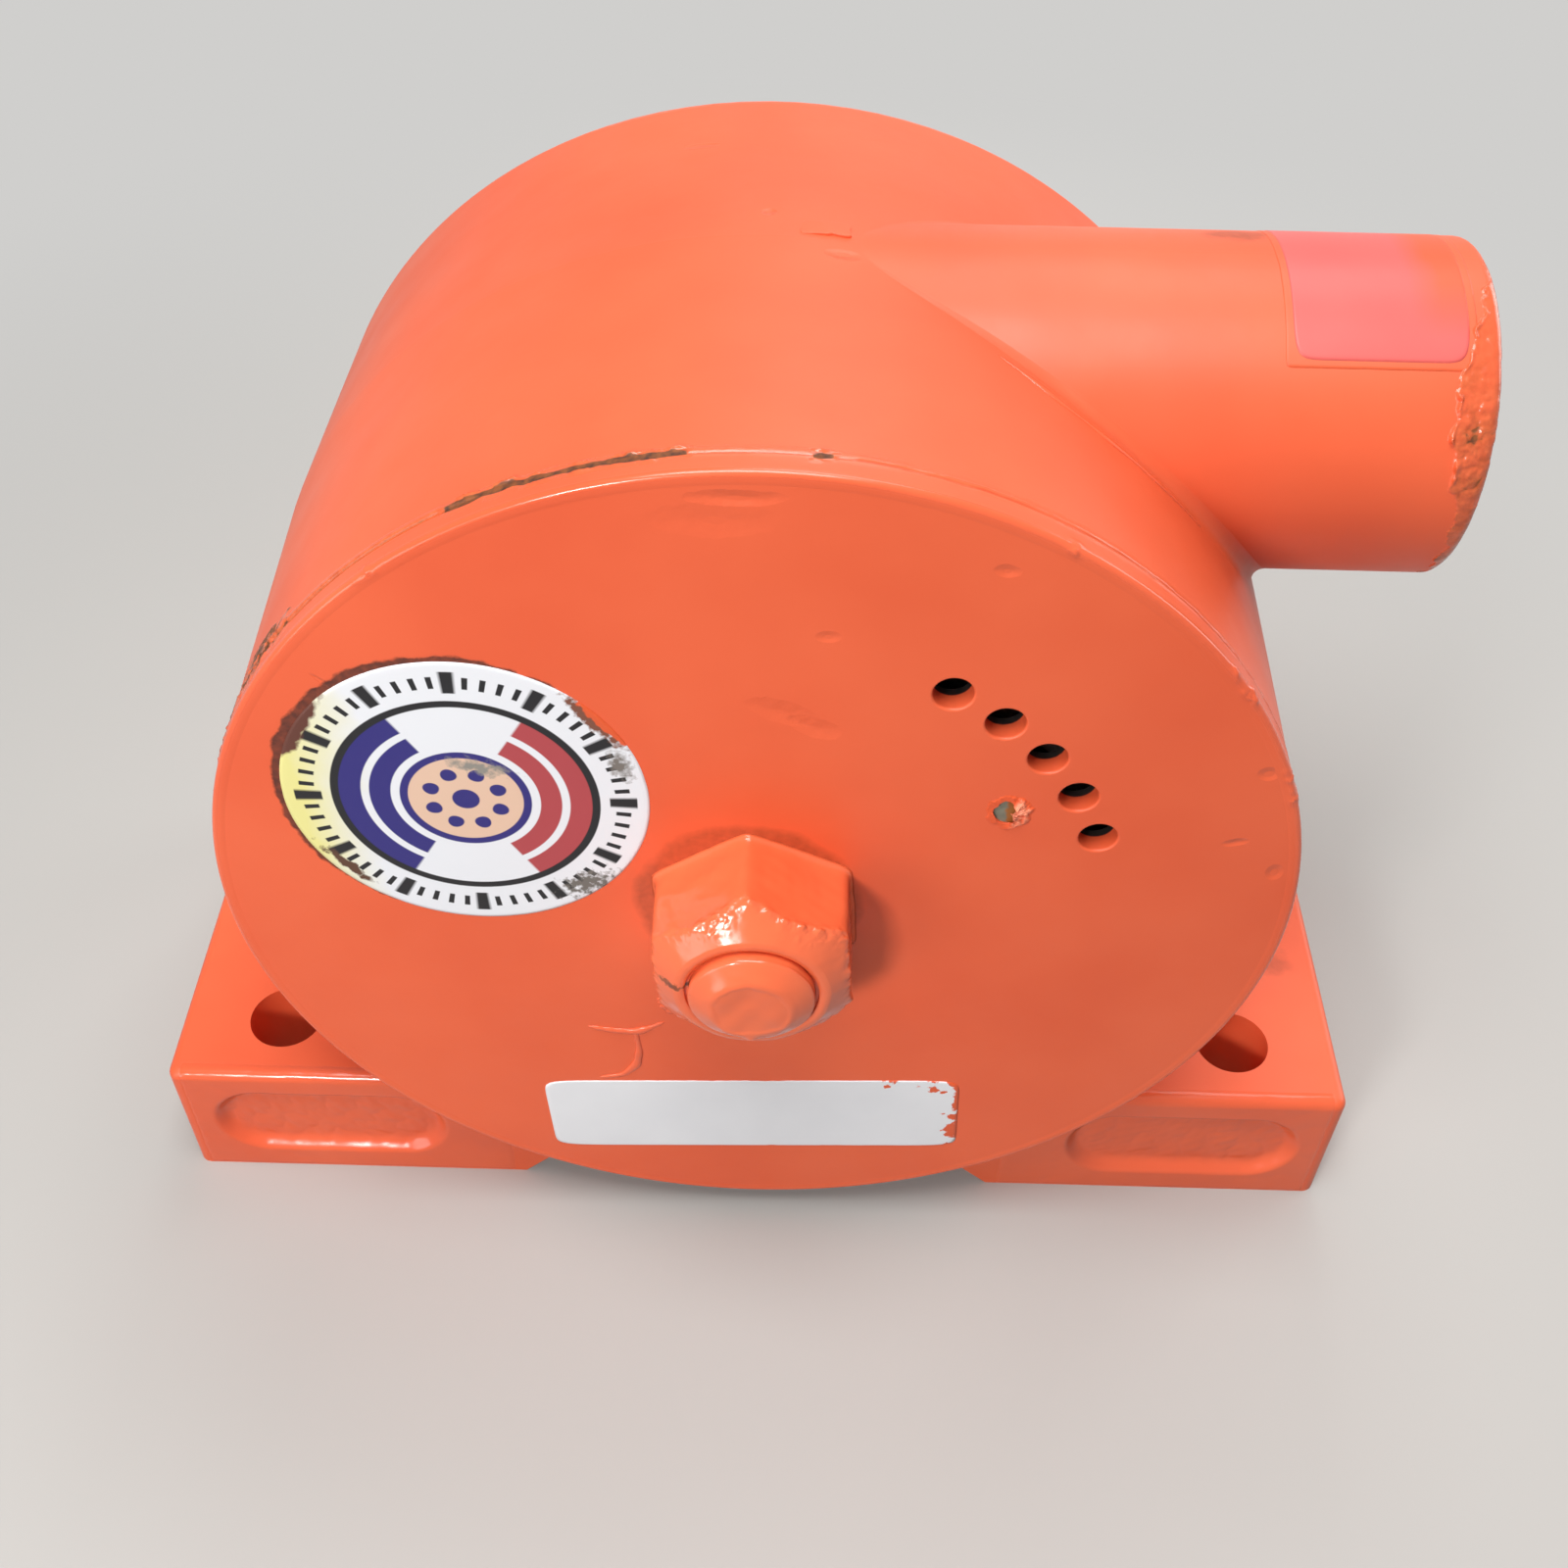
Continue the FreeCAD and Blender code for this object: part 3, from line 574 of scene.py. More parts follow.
machinedIron = bareMetal("machined cast iron", "3A3632", "7C766E", 0.35, 0.6, 1.2)
makePiece("inlet_thread", threadSurface(inletThread), machinedIron, wrapU=True)
print("inlet end and thread made")

# Paint skin round the small plug in the cover, broken on its left and curled up on its right.
plugFlakes = {"inner": 2.5, "reach": 1.9, "outer": 3.9, "lift": 0.75, "film": 0.06, "sunk": 0.4,
              "plate": 0.32, "steps": 2.2, "plateSize": 3.4, "raggedSize": 5.0, "thick": 0.12, "around": 240,
              "rings": 26, "seed": 55}


def plugFlakeSurface(s):
    # Ring from a ragged inner edge to a smooth outer one. The inner edge reaches over the plug and lifts
    # on the right-hand side, where the skin is torn into plates: a wave field cut into steps.
    turn = circle(s["around"])[:, None]
    share = np.linspace(0, 1, s["rings"])[None, :]
    ragged = waves(6 * np.cos(turn), 6 * np.sin(turn), s["raggedSize"], s["seed"], 4)
    right = ramp(np.cos(turn), -0.2, 0.7)
    inner = s["inner"] - s["reach"] * right + (0.12 + 0.5 * right) * ragged
    radius = inner + (s["outer"] + 0.3 * np.roll(ragged, 60, 0) - inner) * share
    lift = s["lift"] * right * (0.6 + 0.6 * ragged) * (1 - share) ** 2
    torn = waves(radius * np.cos(turn), radius * np.sin(turn), s["plateSize"], s["seed"] + 2, 3)
    stepped = np.floor(s["steps"] * (torn + 1)) / s["steps"]
    plates = s["plate"] * (0.15 + 0.85 * right) * stepped * ramp(1 - share, 0.15, 0.4)
    height = np.clip(lift + plates, 0, None) + s["film"] * (1 - ramp(share, 0.6, 1)) - 0.03 * share
    radius = closed(radius)
    under = np.concatenate([0 * turn - s["sunk"], height[:, :1] - s["thick"]], 1)
    y = coverY - np.concatenate([height, under], 1)
    x = plugCentre[0] + radius * np.cos(turn)
    return np.stack([x, y, plugCentre[2] + radius * np.sin(turn)], -1)


flakePaint = orangeEnamel("orange enamel skin", satin, swell=0.02)
runPaint = orangeEnamel("orange enamel runs", wet, swell=0.02)


def tornEnamel():
    # Torn enamel flakes, dull: orange at the surface and paler the further they stand up from the cover, a
    # painted highlight on the raised flakes.
    material, add, coords = newMaterial("torn enamel")
    grain = add("TexNoise", "Fac", {"Vector": coords, "Scale": 1 / 0.9, "Detail": 3.0})
    up = add("SeparateXYZ", "Y", {"Vector": coords})
    # Painted highlight: the colour turns paler with the flakes' height above the cover.
    pale = add("MapRange", 0, {"Value": up, "From Min": coverY - 0.15, "From Max": coverY - 0.5})
    colour = add("Mix", 2, {0: pale, 6: "E2582C", 7: "F38E6C"})
    finishSurface(add, colour, 0.42, grain, 0.06, IOR=1.5)
    return material


makePiece("plug_paint_flakes", plugFlakeSurface(plugFlakes), tornEnamel(), wrapU=True)

# Runs in the wet paint, as low beads. Paths are X and height over the axis on the cover, and the way round
# from the crest and Y on the drum, in millimetres.
drum = {"radius": 84.0, "taper": 0.0288}
beads = {
    "paint_run_across": {"path": ((-28.1, -31.7), (-24.3, -32.6), (-20.2, -32.9), (-17.6, -31.7),
                                  (-15.2, -29.9)), "tall": 0.45, "wide": 0.7, "seed": 13},
    "paint_run_down": {"path": ((-20.2, -32.0), (-19.7, -37.8), (-20.3, -42.3), (-22.8, -45.6),
                                (-27.0, -46.6)), "tall": 0.45, "wide": 0.7, "seed": 14},
    "paint_drop": {"path": ((-16.0, -23.4), (-14.6, -26.2), (-12.4, -28.0)), "tall": 0.45, "wide": 0.8,
                   "seed": 16},
    "inlet_crease": {"path": ((33.0, -18.6), (43.4, -23.4), (51.3, -25.4), (60.4, -26.5), (72.0, -26.7)),
                     "tall": 0.28, "wide": 0.55, "seed": 18, "onDrum": True},
}
beadShape = {"along": 110, "around": 18, "soft": 1.2, "sunk": 0.02, "blunt": 0.4, "uneven": 0.25,
             "unevenSize": 11.0, "length": 40}


def beadSurface(s):
    # Flattened bead carried along a rounded path on the cover or round the drum, thin at both ends and half
    # sunk in the surface.
    c = beadShape
    t = np.linspace(0, 1, c["along"])[:, None]
    path = softened(s["path"], c["soft"], c["along"]).T
    if s.get("onDrum"):
        turn = path[:, :1] / drum["radius"]
        up = np.concatenate([np.sin(turn), 0 * turn, np.cos(turn)], 1)
        middle = np.concatenate([0 * turn, path[:, 1:], axisZ + 0 * turn], 1)
        line = middle + up * (drum["radius"] - drum["taper"] * np.abs(path[:, 1:]) - c["sunk"])
    else:
        up = np.tile((0.0, -1.0, 0.0), (c["along"], 1))
        line = np.stack([path[:, 0], np.full(c["along"], coverY + c["sunk"]), axisZ + path[:, 1]], 1)
    side = np.cross(np.gradient(line, axis=0), up)
    side = side / np.linalg.norm(side, axis=1)[:, None]
    uneven = 1 + c["uneven"] * waves(c["length"] * t, 0 * t, c["unevenSize"], s["seed"], 2)
    full = np.clip(np.sin(np.pi * t), 0, None) ** c["blunt"] * uneven
    turn = circle(c["around"])[:, None]
    offset = s["wide"] * np.cos(turn) * side[:, None] + s["tall"] * np.sin(turn) * up[:, None]
    return line[:, None] + full[:, None] * offset


for name, bead in beads.items():
    makePiece(name, beadSurface(bead), runPaint)
print("plug flakes and paint runs made")

# Thick glossy paint over the front of each foot, its pocket and its top edge.
footSkin = {"frontY": -47.5, "height": 29.2, "edge": 1.8, "inner": 46.0, "outer": 105.75, "start": 0.15,
            "top": 1.3, "film": 0.06, "thick": 0.9, "sunk": 0.04, "pocketX": 79.94, "pocketZ": 14.6,
            "pocketHalf": 22.0, "pocketRadius": 9.5, "slopeFrom": (-0.4, 1.0), "slopeTo": (1.3, 3.4),
            "sag": 0.05, "sagSize": 16.0, "floorSag": 0.14, "floorSize": 9.0, "across": 230,
            "counts": (110, 14, 10), "innerFade": 1.5, "outerFade": 0.7, "topFade": 1.2}


def footSkinSurface(s, side, seed):
    # A skin up the foot's front, round its top edge and a little way back along its top. In the pocket its
    # depth is the sum of a slope that swells at the lip and dies at the floor, over the distance from
    # the pocket's outline. The skin has an inner face and thins out to nothing at both ends.
    x = np.linspace(s["inner"], s["outer"], s["across"])[:, None]
    flatTop = s["height"] - s["edge"]
    quarter = s["edge"] * np.pi / 2
    end = flatTop + quarter + s["top"]
    up, over, back = s["counts"]
    along = np.concatenate([np.linspace(s["start"], flatTop, up),
                            np.linspace(flatTop, flatTop + quarter, over)[1:],
                            np.linspace(flatTop + quarter, end, back)[1:]])[None, :]
    bend = np.clip(along - flatTop, 0, quarter) / s["edge"]
    z = np.clip(along, None, flatTop) + s["edge"] * np.sin(bend)
    y = s["frontY"] + s["edge"] * (1 - np.cos(bend)) + np.clip(along - flatTop - quarter, 0, None)
    past = np.clip(np.abs(x - s["pocketX"]) - s["pocketHalf"] + s["pocketRadius"], 0, None)
    inside = s["pocketRadius"] - np.hypot(past, along - s["pocketZ"])
    table = np.linspace(-1.0, 5.0, 400)
    slope = ramp(table, *s["slopeFrom"]) * (1 - ramp(table, *s["slopeTo"]))
    pocket = np.interp(inside, table, np.cumsum(slope) * (table[1] - table[0]))
    film = s["film"] + s["sag"] * np.abs(waves(x, along, s["sagSize"], seed, 3))
    floorSag = s["floorSag"] * np.abs(waves(x, along, s["floorSize"], seed + 1, 3))
    film = film + floorSag * ramp(inside, 1.0, 3.0)
    across = ramp(x, s["inner"], s["inner"] + s["innerFade"])
    across = across * ramp(-x, -s["outer"], s["outerFade"] - s["outer"])
    fade = across * ramp(along, 0.1, 0.7) * ramp(-along, -end, s["topFade"] - end)
    film = film * fade - s["sunk"] * (1 - fade)
    layers = []
    for height in (film, film - s["thick"] * across):
        layers.append(np.stack([side * x + 0 * along, y + pocket - height * np.cos(bend),
                                z + height * np.sin(bend)], -1))
    return np.concatenate([layers[0], layers[1][:, ::-1]], 1)


thickPaint = orangeEnamel("thick orange enamel", wet, swell=0.08, peel=0.03)
makePiece("left_foot_paint", footSkinSurface(footSkin, -1, 91), thickPaint)
makePiece("right_foot_paint", footSkinSurface(footSkin, 1, 95), thickPaint)
print("foot paint made")

# Vinyl labels: a round one and a strip on the cover, and a patch bent round the inlet's end, which has a
# painted film under it. Centres are X and height over the axis, or X and angle round the inlet.
roundLabel = {"centre": (-42.2, 23.4), "half": (26.75, 26.75), "power": 2, "wear": 0.06, "film": 0.14,
              "seed": 71}
stripLabel = {"centre": (-0.3, -56.6), "half": (36.3, 10.2), "power": 14, "turn": 2.6, "wear": 0.12,
              "film": 0.14, "seed": 72}
inletLabel = {"centre": (85.3, 106.0), "half": (12.2, 25.6), "power": 14, "bent": True, "wear": 0.0,
              "film": 0.10, "seed": 73}
inletFilm = {"centre": (85.3, 106.0), "half": (13.3, 26.7), "power": 60, "bent": True, "wear": 0.1,
             "film": 0.05, "seed": 74}
crestPad = {"centre": (8.1, 2.7), "half": (3.8, 1.7), "power": 9, "wear": 0.5, "film": 0.4, "below": 0.03,
            "seed": 75}
vinyl = {"sunk": 0.25, "printScale": 100.0, "printMiddle": 0.5, "around": 480, "rings": 44, "underRings": 5,
         "crowd": 0.7, "raggedSize": 9.0, "intact": 0.3, "rounded": 0.5}


def labelOutline(s):
    # Flat label in polar form: a power mean of its half sizes gives the rounded outline, worn back a
    # little in places. The skin runs from its middle to the edge and back beneath.
    turn = circle(vinyl["around"])[:, None]
    rings, underRings = vinyl["rings"], vinyl["underRings"]
    out = np.linspace(0, 1, rings) ** vinyl["crowd"]
    share = np.concatenate([out, np.linspace(1, 0, underRings)])[None, :]
    top = np.arange(rings + underRings)[None, :] < rings
    a, b = s["half"]
    power = s["power"]
    edge = (np.abs(np.cos(turn) / a) ** power + np.abs(np.sin(turn) / b) ** power) ** (-1 / power)
    ragged = waves(edge * np.cos(turn), edge * np.sin(turn), vinyl["raggedSize"], s["seed"], 5)
    edge = edge - s["wear"] * np.clip(ragged - vinyl["intact"], 0, None)
    flat = np.stack([edge * share * np.cos(turn), edge * share * np.sin(turn)], -1)
    film = s["film"] * (1 - vinyl["rounded"] * ramp(share, 0.99, 1.0))
    return flat, np.where(top, film, -vinyl["sunk"]) + 0 * turn


def makeLabel(name, s, material):
    # Label laid on the cover's front face and turned about its middle, or bent round the inlet, where its
    # width runs along the inlet and its length round it.
    flat, height = labelOutline(s)
    wide, tall = flat[..., 0], flat[..., 1]
    if s.get("bent"):
        turn = np.radians(s["centre"][1]) + tall / inletEnd["radius"]
        points = roundInlet(s["centre"][0] + wide, inletEnd["radius"] + height, turn)
    else:
        turn = np.radians(s.get("turn", 0))
        x = s["centre"][0] + wide * np.cos(turn) - tall * np.sin(turn)
        z = axisZ + s["centre"][1] + wide * np.sin(turn) + tall * np.cos(turn)
        points = np.stack([x, coverY - height, z], -1)
    flat = flat / vinyl["printScale"] + vinyl["printMiddle"]
    makePiece(name, points, material, wrapU=True, wrapV=False, flat=flat)


def crestSurface(s):
    # Low flat-topped casting flash on the drum's tapering crest, no higher than the crest itself.
    flat, height = labelOutline(s)
    x = s["centre"][0] + flat[..., 0]
    y = s["centre"][1] + flat[..., 1]
    radius = drum["radius"] - drum["taper"] * np.abs(y)
    top = axisZ + np.sqrt(radius ** 2 - x ** 2) + height
    return np.stack([x, y, np.minimum(top, crestZ - s["below"])], -1)


def newPrint(name):
    # Material with the place on its label in millimetres from the middle.
    material, add, coords = newMaterial(name)
    middle = (vinyl["printMiddle"], vinyl["printMiddle"], 0)
    flat = add("VectorMath", 0, {0: add("UVMap", 0, uv_map="print"), 1: middle}, "SUBTRACT")
    flat = add("VectorMath", 0, {0: flat, "Scale": vinyl["printScale"]}, "SCALE")
    return material, add, coords, flat


def bandMask(add, value, low, high, soft=0.08):
    # 1 where value lies between low and high, with a printed edge.
    rise = add("MapRange", 0, {"Value": value, "From Min": low - soft, "From Max": low + soft})
    fall = add("MapRange", 0, {"Value": value, "From Min": high + soft, "From Max": high - soft})
    return add("Math", 0, {0: rise, 1: fall}, "MULTIPLY")


def overspray(add, coords, colour, toEdge, reach):
    # Orange spray and chips that creep in from a label's edge.
    mist = add("TexNoise", "Fac", {"Vector": coords, "Scale": 1 / 3.0, "Detail": 5.0})
    value = add("Math", 0, {0: toEdge, 1: -1 / reach, 2: mist}, "MULTIPLY_ADD")
    mask = add("MapRange", 0, {"Value": value, "From Min": 0.37, "From Max": 0.40})
    return add("Mix", 2, {0: mask, 6: colour, 7: "DD5A30"})


# Rubbed places on the round label: grey dirt, brown where it has torn away, and orange where the cover's
# paint was brushed over its edge.
labelScuffs = (
    onCover(-39.5, 30.0, 3.4, 1.2, jag=3.0, soft=0.5, grain=1.0, turn=15, tone="8F8A82"),
    onCover(-25.5, 5.5, 3.6, 1.8, jag=3.6, soft=0.4, grain=0.8, turn=-30, tone="6E6963"),
    onCover(-22.4, 39.4, 1.0, 6.0, jag=2.4, soft=0.3, grain=1.0, turn=-38, tone="7A4A38"),
    onCover(-21.2, 39.8, 1.1, 6.5, jag=1.6, soft=0.1, grain=1.4, turn=-38, tone="DD5A30"),
    onCover(-19.4, 31.0, 1.2, 2.4, jag=2.6, soft=0.5, grain=0.8, turn=-20, tone="77706A"),
    onCover(-64.6, 37.4, 1.7, 7.5, jag=1.2, soft=0.15, grain=2.0, turn=32, tone="5E3226"),
    onCover(-62.0, 8.5, 0.8, 5.0, jag=2.2, soft=0.2, grain=1.2, turn=-38, tone="5A3A28"),
)
# The round label's print, from the middle: rings by inner and outer radius, ticks by number and half width.
dial = {"ink": "141419", "navy": "2C2674", "red": "AE454A", "skin": "E3BFA6", "white": "E8E9ED",
        "yellowed": "E9E193", "ticks": ((60, 0.17, 21.9, 24.1), (12, 0.08, 21.0, 25.0)),
        "bands": ((10.9, 14.0), (15.2, 18.6)), "sector": (0.50, 0.52), "bores": 8, "boreAt": 5.3,
        "boreRadius": 1.2, "yellowFrom": -18.0, "yellowTo": -29.0,
        "rings": ((-1.0, 9.6, "navy"), (-1.0, 8.4, "skin"), (-1.0, 2.0, "navy"), (18.4, 19.6, "ink"))}


def roundPrint(s):
    # Printed vinyl, satin: white with a dark dial of ticks, and a bored wheel between navy and red bands
    # inside a black ring; yellowed on its left side and scuffed.
    material, add, coords, flat = newPrint("printed vinyl")
    axes = add("SeparateXYZ", None, {"Vector": flat}).outputs
    far = add("VectorMath", "Value", {0: flat}, "LENGTH")
    angle = add("Math", 0, {0: axes[1], 1: axes[0]}, "ARCTAN2")
    stain = add("TexNoise", "Fac", {"Vector": coords, "Scale": 1 / 9.0, "Detail": 3.0})
    left = add("Math", 0, {0: stain, 1: -9.0, 2: axes[0]}, "MULTIPLY_ADD")
    yellow = add("MapRange", 0, {"Value": left, "From Min": s["yellowFrom"], "From Max": s["yellowTo"]})
    colour = add("Mix", 2, {0: yellow, 6: s["white"], 7: s["yellowed"]})
    for count, half, low, high in s["ticks"]:
        step = add("Math", 0, {0: angle, 1: count / tau, 2: 0.5}, "MULTIPLY_ADD")
        tick = bandMask(add, add("Math", 0, {0: step}, "FRACT"), 0.5 - half, 0.5 + half, 0.02)
        tick = add("Math", 0, {0: tick, 1: bandMask(add, far, low, high)}, "MULTIPLY")
        colour = add("Mix", 2, {0: tick, 6: colour, 7: s["ink"]})
    sideways = add("Math", 0, {0: add("Math", 0, {0: angle}, "COSINE")}, "ABSOLUTE")
    sector = add("MapRange", 0, {"Value": sideways, "From Min": s["sector"][0], "From Max": s["sector"][1]})
    toRight = add("Math", 0, {0: axes[0], 1: 0.0}, "GREATER_THAN")
    band = add("Mix", 2, {0: toRight, 6: s["navy"], 7: s["red"]})
    for low, high in s["bands"]:
        wave = add("Math", 0, {0: sector, 1: bandMask(add, far, low, high)}, "MULTIPLY")
        colour = add("Mix", 2, {0: wave, 6: colour, 7: band})
    for low, high, tone in s["rings"]:
        colour = add("Mix", 2, {0: bandMask(add, far, low, high), 6: colour, 7: s[tone]})
    apart = tau / s["bores"]
    turned = add("Math", 0, {0: angle, 1: apart}, "FLOORED_MODULO")
    turned = add("Math", 0, {0: turned, 1: apart / 2}, "SUBTRACT")
    spoke = add("CombineXYZ", 0, {0: far, 1: add("Math", 0, {0: turned, 1: far}, "MULTIPLY")})
    toBore = add("VectorMath", "Value", {0: spoke, 1: (s["boreAt"], 0, 0)}, "DISTANCE")
    bored = bandMask(add, toBore, -1.0, s["boreRadius"])
    colour = add("Mix", 2, {0: bored, 6: colour, 7: s["navy"]})
    for scuff in labelScuffs:
        mask = spotMask(add, coords, scuff)
        colour = add("Mix", 2, {0: mask, 6: colour, 7: scuff["tone"]})
    finishSurface(add, colour, 0.36, stain, 0.05, IOR=1.46)
    return material


def stripPrint():
    # Plain white vinyl, satin, with paint caught along its edges, most at its right end.
    material, add, coords, flat = newPrint("white vinyl")
    axes = add("SeparateXYZ", None, {"Vector": flat}).outputs
    cloud = add("TexNoise", "Fac", {"Vector": coords, "Scale": 1 / 14.0, "Detail": 3.0})
    colour = add("Mix", 2, {0: cloud, 6: "E0E0E3", 7: "EDEDEF"})
    edges = []
    for axis, half in zip(axes, stripLabel["half"]):
        edges.append(add("Math", 0, {0: half, 1: axis}, "SUBTRACT"))
    toCorner = add("Math", 0, {0: edges[0], 1: 0.3, 2: edges[1]}, "MULTIPLY_ADD")
    toEnd = add("Math", 0, {0: edges[0], 1: 2.0, 2: 0.6}, "MULTIPLY_ADD")
    toEdge = add("Math", 0, {0: toCorner, 1: toEnd}, "MINIMUM")
    colour = overspray(add, coords, colour, toEdge, 22.0)
    finishSurface(add, colour, 0.36, cloud, 0.05, IOR=1.46)
    return material


def redPrint():
    # Plain red vinyl, satin, faded to coral, with a soft mist of orange paint over its upper right corner.
    material, add, coords, flat = newPrint("red vinyl")
    cloud = add("TexNoise", "Fac", {"Vector": coords, "Scale": 1 / 12.0, "Detail": 3.0})
    colour = add("Mix", 2, {0: cloud, 6: "DA5A55", 7: "E0655E"})
    axes = add("SeparateXYZ", None, {"Vector": flat}).outputs
    reach = add("Math", 0, {0: cloud, 1: 5.0, 2: axes[0]}, "MULTIPLY_ADD")
    right = add("MapRange", 0, {"Value": reach, "From Min": 7.0, "From Max": 11.0, "To Max": 0.9})
    upper = add("MapRange", 0, {"Value": axes[1], "From Min": -22.0, "From Max": -13.0})
    mist = add("Math", 0, {0: right, 1: upper}, "MULTIPLY")
    colour = add("Mix", 2, {0: mist, 6: colour, 7: "E05A2E"})
    finishSurface(add, colour, 0.4, cloud, 0.04, IOR=1.46)
    return material


makePiece("crest_flash", crestSurface(crestPad), flakePaint, wrapU=True, wrapV=False)
makeLabel("round_label", roundLabel, roundPrint(dial))
makeLabel("strip_label", stripLabel, stripPrint())
makeLabel("inlet_label_film", inletFilm, flakePaint)
makeLabel("inlet_label", inletLabel, redPrint())
print("labels made")

# Finishes of the CAD nodes. Dents, stains, dirt with painted shade round the nut's seat, and bores darkened
# as bare iron and painted shade are places in millimetres, read off the object.
coverMarks = (
    onCover(-2.5, 78.6, 4.2, 0.8, depth=0.22, soft=0.6, jag=0.9),
    onCover(-5.5, 75.0, 5.0, 1.6, depth=0.12, soft=0.7, jag=0.9),
    onCover(3.5, 42.4, 3.2, 1.3, turn=20, depth=0.2, soft=0.7, jag=0.9),
    onCover(8.2, 39.6, 2.6, 1.1, turn=20, depth=0.2, soft=0.7, jag=0.9),
    onCover(9.5, 56.3, 1.2, 0.7, depth=0.14, soft=0.5),
    onCover(32.0, 68.2, 1.2, 0.7, turn=10, depth=0.2, soft=0.6, jag=0.9),
    onCover(70.8, 18.2, 1.3, 0.5, turn=-14, depth=0.2, soft=0.6, jag=0.8),
    onCover(72.6, 32.7, 1.2, 1.0, depth=0.2, soft=0.4),
    onCover(77.8, 11.8, 1.0, 1.3, depth=0.2, soft=0.4),
    onCover(-59.4, 46.0, 1.6, 0.3, turn=45, depth=0.12, soft=0.3),
    onCover(-43.4, 24.3, 26.7, 26.7, jag=0.07, soft=0.008, grain=2.4, tones=primerTones, depth=0.05,
            cover=0.92),
    # Brown ring round the nut's seat: dirt and painted shade hugging the nut.
    onCover(-1.2, 1.6, 17.2, 17.2, jag=0.2, soft=0.05, grain=7.0, tones=grimeAndShadeTones, cover=0.6, dull=0.02),
    # Near black at the back of the cover's holes and on its rear face: bare iron and painted shade.
    {"at": (0, jointY, axisZ), "half": (400.0, 1.25, 400.0), "soft": 0.08, "tones": ironAndShadeTones, "dull": 0.2},
)
housingMarks = (
    {"at": (-11.4, 29.7, 171.2), "half": (2.2, 0.5, 2), "depth": 0.2, "soft": 0.4},
    {"at": (-0.3, 7.0, 172.7), "half": (0.9, 0.7, 2), "depth": 0.25, "soft": 0.4},
    {"at": (10.5, -3.6, 172.1), "half": (2.0, 0.9, 2), "depth": 0.25, "soft": 0.4},
    {"at": (67.5, 7.0, 171.2), "half": (4.5, 2.6, 2.0), "jag": 1.2, "soft": 0.4, "grain": 3.0,
     "tones": grimeAndShadeTones, "cover": 0.6, "dull": 0.02},
    {"at": (98.5, -14.6, 29.2), "half": (3.6, 2.6, 2.0), "jag": 1.8, "soft": 0.5, "grain": 3.0,
     "tones": grimeAndShadeTones, "cover": 0.45, "dull": 0.02},
    # Near black inside the inlet's bore: bare iron and painted shade.
    {"at": (100.0, 0, inletZ), "half": (80.0, 13.6, 13.6), "soft": 0.02, "tones": ironAndShadeTones, "dull": 0.2},
)


def weatheredSteel():
    # Bare steel plug: dull grey-green, running into brown rust on its right side.
    material, add, coords = newMaterial("weathered steel")
    grain = add("TexNoise", "Fac", {"Vector": coords, "Scale": 1 / 1.2, "Detail": 5.0})
    metal = add("Mix", 2, {0: grain, 6: "5E5B4E", 7: "8C8774"})
    rust = add("Mix", 2, {0: grain, 6: "6A3A16", 7: "B5702F"})
    across = add("SeparateXYZ", "X", {"Vector": coords})
    edge = add("Math", 0, {0: grain, 1: 1.6, 2: across}, "MULTIPLY_ADD")
    middle = plugCentre[0]
    share = add("MapRange", 0, {"Value": edge, "From Min": middle + 0.1, "From Max": middle + 0.5})
    colour = add("Mix", 2, {0: share, 6: metal, 7: rust})
    finishSurface(add, colour, 0.55, grain, 0.12, IOR=1.5)
    return material


nodeFinish = {
    "housing": orangeEnamel("orange enamel on cast iron", satin, housingMarks, swell=0.11),
    "front_cover": orangeEnamel("orange enamel on plate", satin, coverMarks),
    "bolt_washer": paintedSteel, "centre_bolt": paintedSteel, "lock_nut": paintedSteel,
    "lock_nut_insert": paintedSteel, "cover_plug": weatheredSteel(),
}
slotFinish = {
    "bare_steel": bareMetal("plain turned steel", "6A6763", "95928D", 0.3, 0.5, 0.8),
    "bearing_steel": bareMetal("ground bearing steel", "A8A9AB", "C8C9CB", 0.12, 0.25, 0.5),
    "cast_aluminium": bareMetal("machined aluminium", "9A9B9D", "C2C3C5", 0.3, 0.45, 0.9),
    "seal_rubber": mouldedPolymer("moulded black rubber", "0B0B0C", "1C1B1B", 0.7),
    "lock_nylon": mouldedPolymer("moulded nylon", "CFCABA", "DDD9CC", 0.45),
}
slotOf = {part["node"]: part["material_slot"] for part in frame["record"]["subparts"]}
for node, obj in frame["nodes"].items():
    finish = nodeFinish[node] if node in nodeFinish else slotFinish[slotOf[node]]
    for slot in obj.material_slots:
        slot.material = finish
print("finishes assigned")

# Pale floor that fades into a pale background, soft lamps and the photograph's camera.
studio = {"floorHalf": 3000.0, "floorHex": "B2B0AC", "bounceHex": "5A5855", "backHex": "D0CFCD",
          "fadeFrom": 140.0, "fadeTo": 430.0, "worldHex": "E6E6E8", "worldLight": 0.11,
          "lens": 40.594, "sensor": 36.0, "nearest": 0.01, "eye": (5.536, -230.546, 299.812),
          "right": (0.99965, 0.02277, 0.01372), "up": (-0.02592, 0.71989, 0.6936),
          "back": (0.00592, -0.69371, 0.72023)}
lamps = ({"name": "key", "at": (-200, -470, 330), "size": 100, "watts": 1.65},
         {"name": "left fill", "at": (-370, -400, 120), "size": 220, "watts": 0.55},
         {"name": "overhead", "at": (-40, -230, 930), "size": 460, "watts": 7.0},
         {"name": "rear fill", "at": (150, 430, 930), "size": 480, "watts": 2.6},
         {"name": "back fill", "at": (60, 640, 200), "size": 300, "watts": 2.2, "mirrored": False},
         {"name": "right fill", "at": (620, 260, 280), "size": 400, "watts": 1.5})


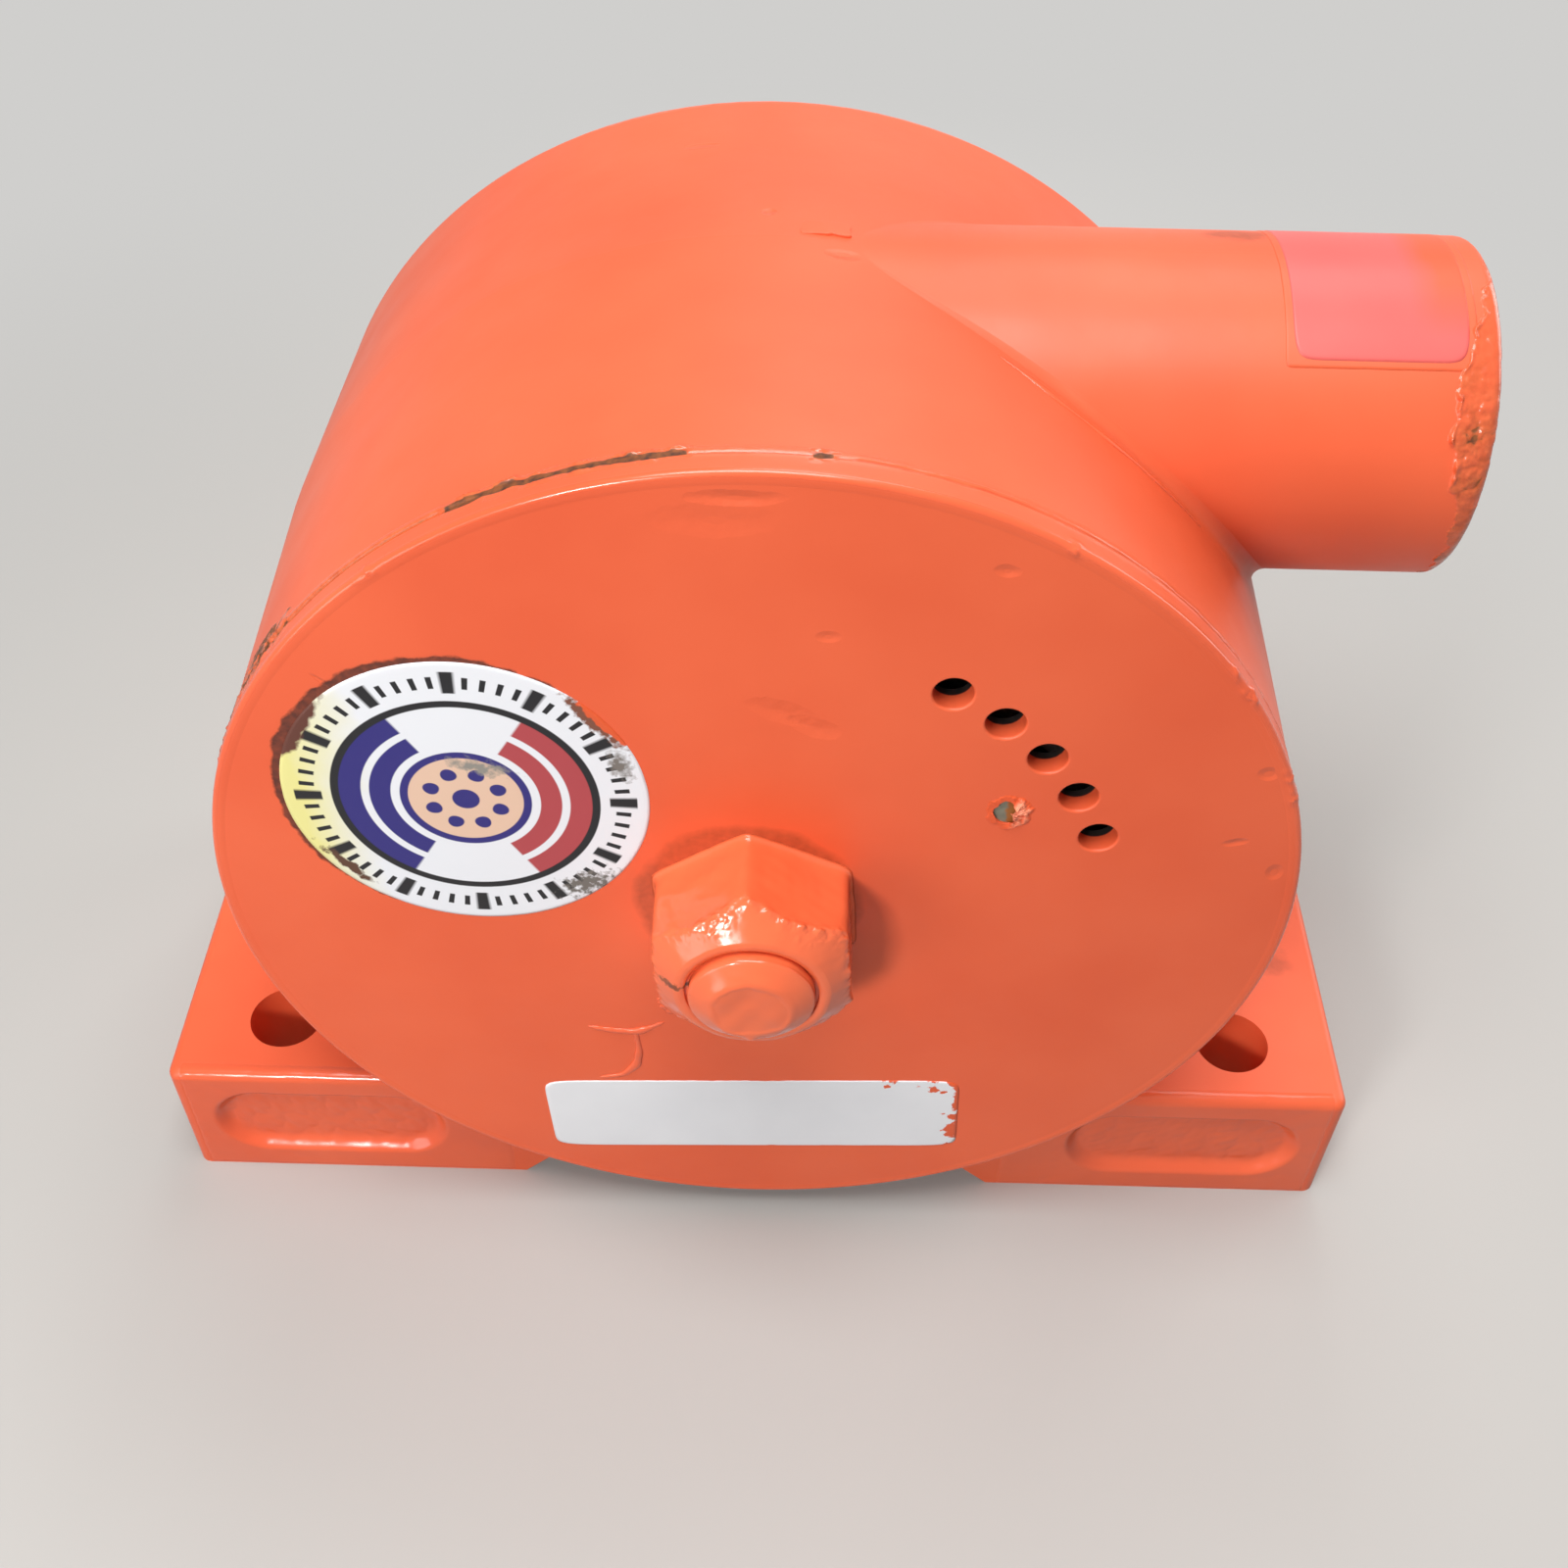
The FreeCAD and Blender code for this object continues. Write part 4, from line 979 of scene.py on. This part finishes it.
def lampTowards(lamp, target):
    # Square soft box that faces the object; the back fill is kept out of reflections.
    data = bpy.data.lights.new(lamp["name"], "AREA")
    data.size = lamp["size"] * mm
    data.energy = lamp["watts"]
    obj = bpy.data.objects.new(lamp["name"], data)
    bpy.context.scene.collection.objects.link(obj)
    place = Vector(lamp["at"]) * mm
    aim = (place - target).to_track_quat("Z", "Y").to_matrix().to_4x4()
    obj.matrix_world = Matrix.Translation(place) @ aim
    obj.visible_camera = False
    obj.visible_glossy = lamp.get("mirrored", True)


def seenRay(add):
    # 1 for rays that see the background directly or in a reflection, 0 for rays that light the object.
    path = add("LightPath", None).outputs
    direct = add("Math", 0, {0: path["Is Camera Ray"], 1: path["Is Glossy Ray"]}, "MAXIMUM")
    return add("Math", 0, {0: direct, 1: path["Is Transmission Ray"]}, "MAXIMUM")


def makeFloor():
    # Flat pale sheet, matt; far from the object it takes the background's own tone. It throws back less
    # light than it shows, so that the object's undersides stay in shade.
    half = studio["floorHalf"] * mm
    mesh = bpy.data.meshes.new("floor")
    corners = [(-half, -half, 0), (half, -half, 0), (half, half, 0), (-half, half, 0)]
    mesh.from_pydata(corners, [], [(0, 1, 2, 3)])
    floor = bpy.data.objects.new("floor", mesh)
    bpy.context.scene.collection.objects.link(floor)
    material, add, coords = newMaterial("pale matt floor")
    cloud = add("TexNoise", "Fac", {"Vector": coords, "Scale": 1 / 260.0, "Detail": 2.0})
    seen = seenRay(add)
    shade = add("Mix", 2, {0: seen, 6: studio["bounceHex"], 7: studio["floorHex"]})
    value = add("MapRange", 0, {"Value": cloud, "To Min": 0.97, "To Max": 1.03})
    shade = add("HueSaturation", 0, {"Value": value, "Color": shade})
    sheet = add("BsdfPrincipled", 0, {"Base Color": shade, "Roughness": 0.75})
    glow = add("Emission", 0, {"Color": studio["backHex"]})
    far = add("VectorMath", "Value", {0: coords}, "LENGTH")
    fade = add("MapRange", 0, {"Value": far, "From Min": studio["fadeFrom"], "From Max": studio["fadeTo"]},
               interpolation_type="SMOOTHSTEP")
    share = add("Math", 0, {0: fade, 1: seen}, "MULTIPLY")
    add("OutputMaterial", None, {"Surface": add("MixShader", 0, {0: share, 1: sheet, 2: glow})})
    mesh.materials.append(material)


def makeWorld():
    # Even soft light on the object, with the background's tone wherever it is seen.
    world = bpy.data.worlds.new("studio")
    bpy.context.scene.world = world
    world.use_nodes = True
    world.node_tree.nodes.clear()
    add = partial(addNode, world.node_tree)
    light = add("Background", 0, {"Color": studio["worldHex"], "Strength": studio["worldLight"]})
    back = add("Background", 0, {"Color": studio["backHex"], "Strength": 1.0})
    add("OutputWorld", None, {"Surface": add("MixShader", 0, {0: seenRay(add), 1: light, 2: back})})


def makeCamera():
    # The photograph's camera: its right, up and back directions and its place are the matrix's columns.
    data = bpy.data.cameras.new("photo camera")
    data.lens = studio["lens"]
    data.sensor_width = studio["sensor"]
    data.clip_start = studio["nearest"]
    camera = bpy.data.objects.new("photo camera", data)
    bpy.context.scene.collection.objects.link(camera)
    columns = (studio["right"], studio["up"], studio["back"], [c * mm for c in studio["eye"]])
    camera.matrix_world = Matrix([*zip(*columns), (0, 0, 0, 1)])
    bpy.context.scene.camera = camera


makeFloor()
makeWorld()
makeCamera()
for lamp in lamps:
    lampTowards(lamp, Vector((0, 0, axisZ * mm)))
bpy.context.scene.view_settings.view_transform = "Standard"
print("studio set")
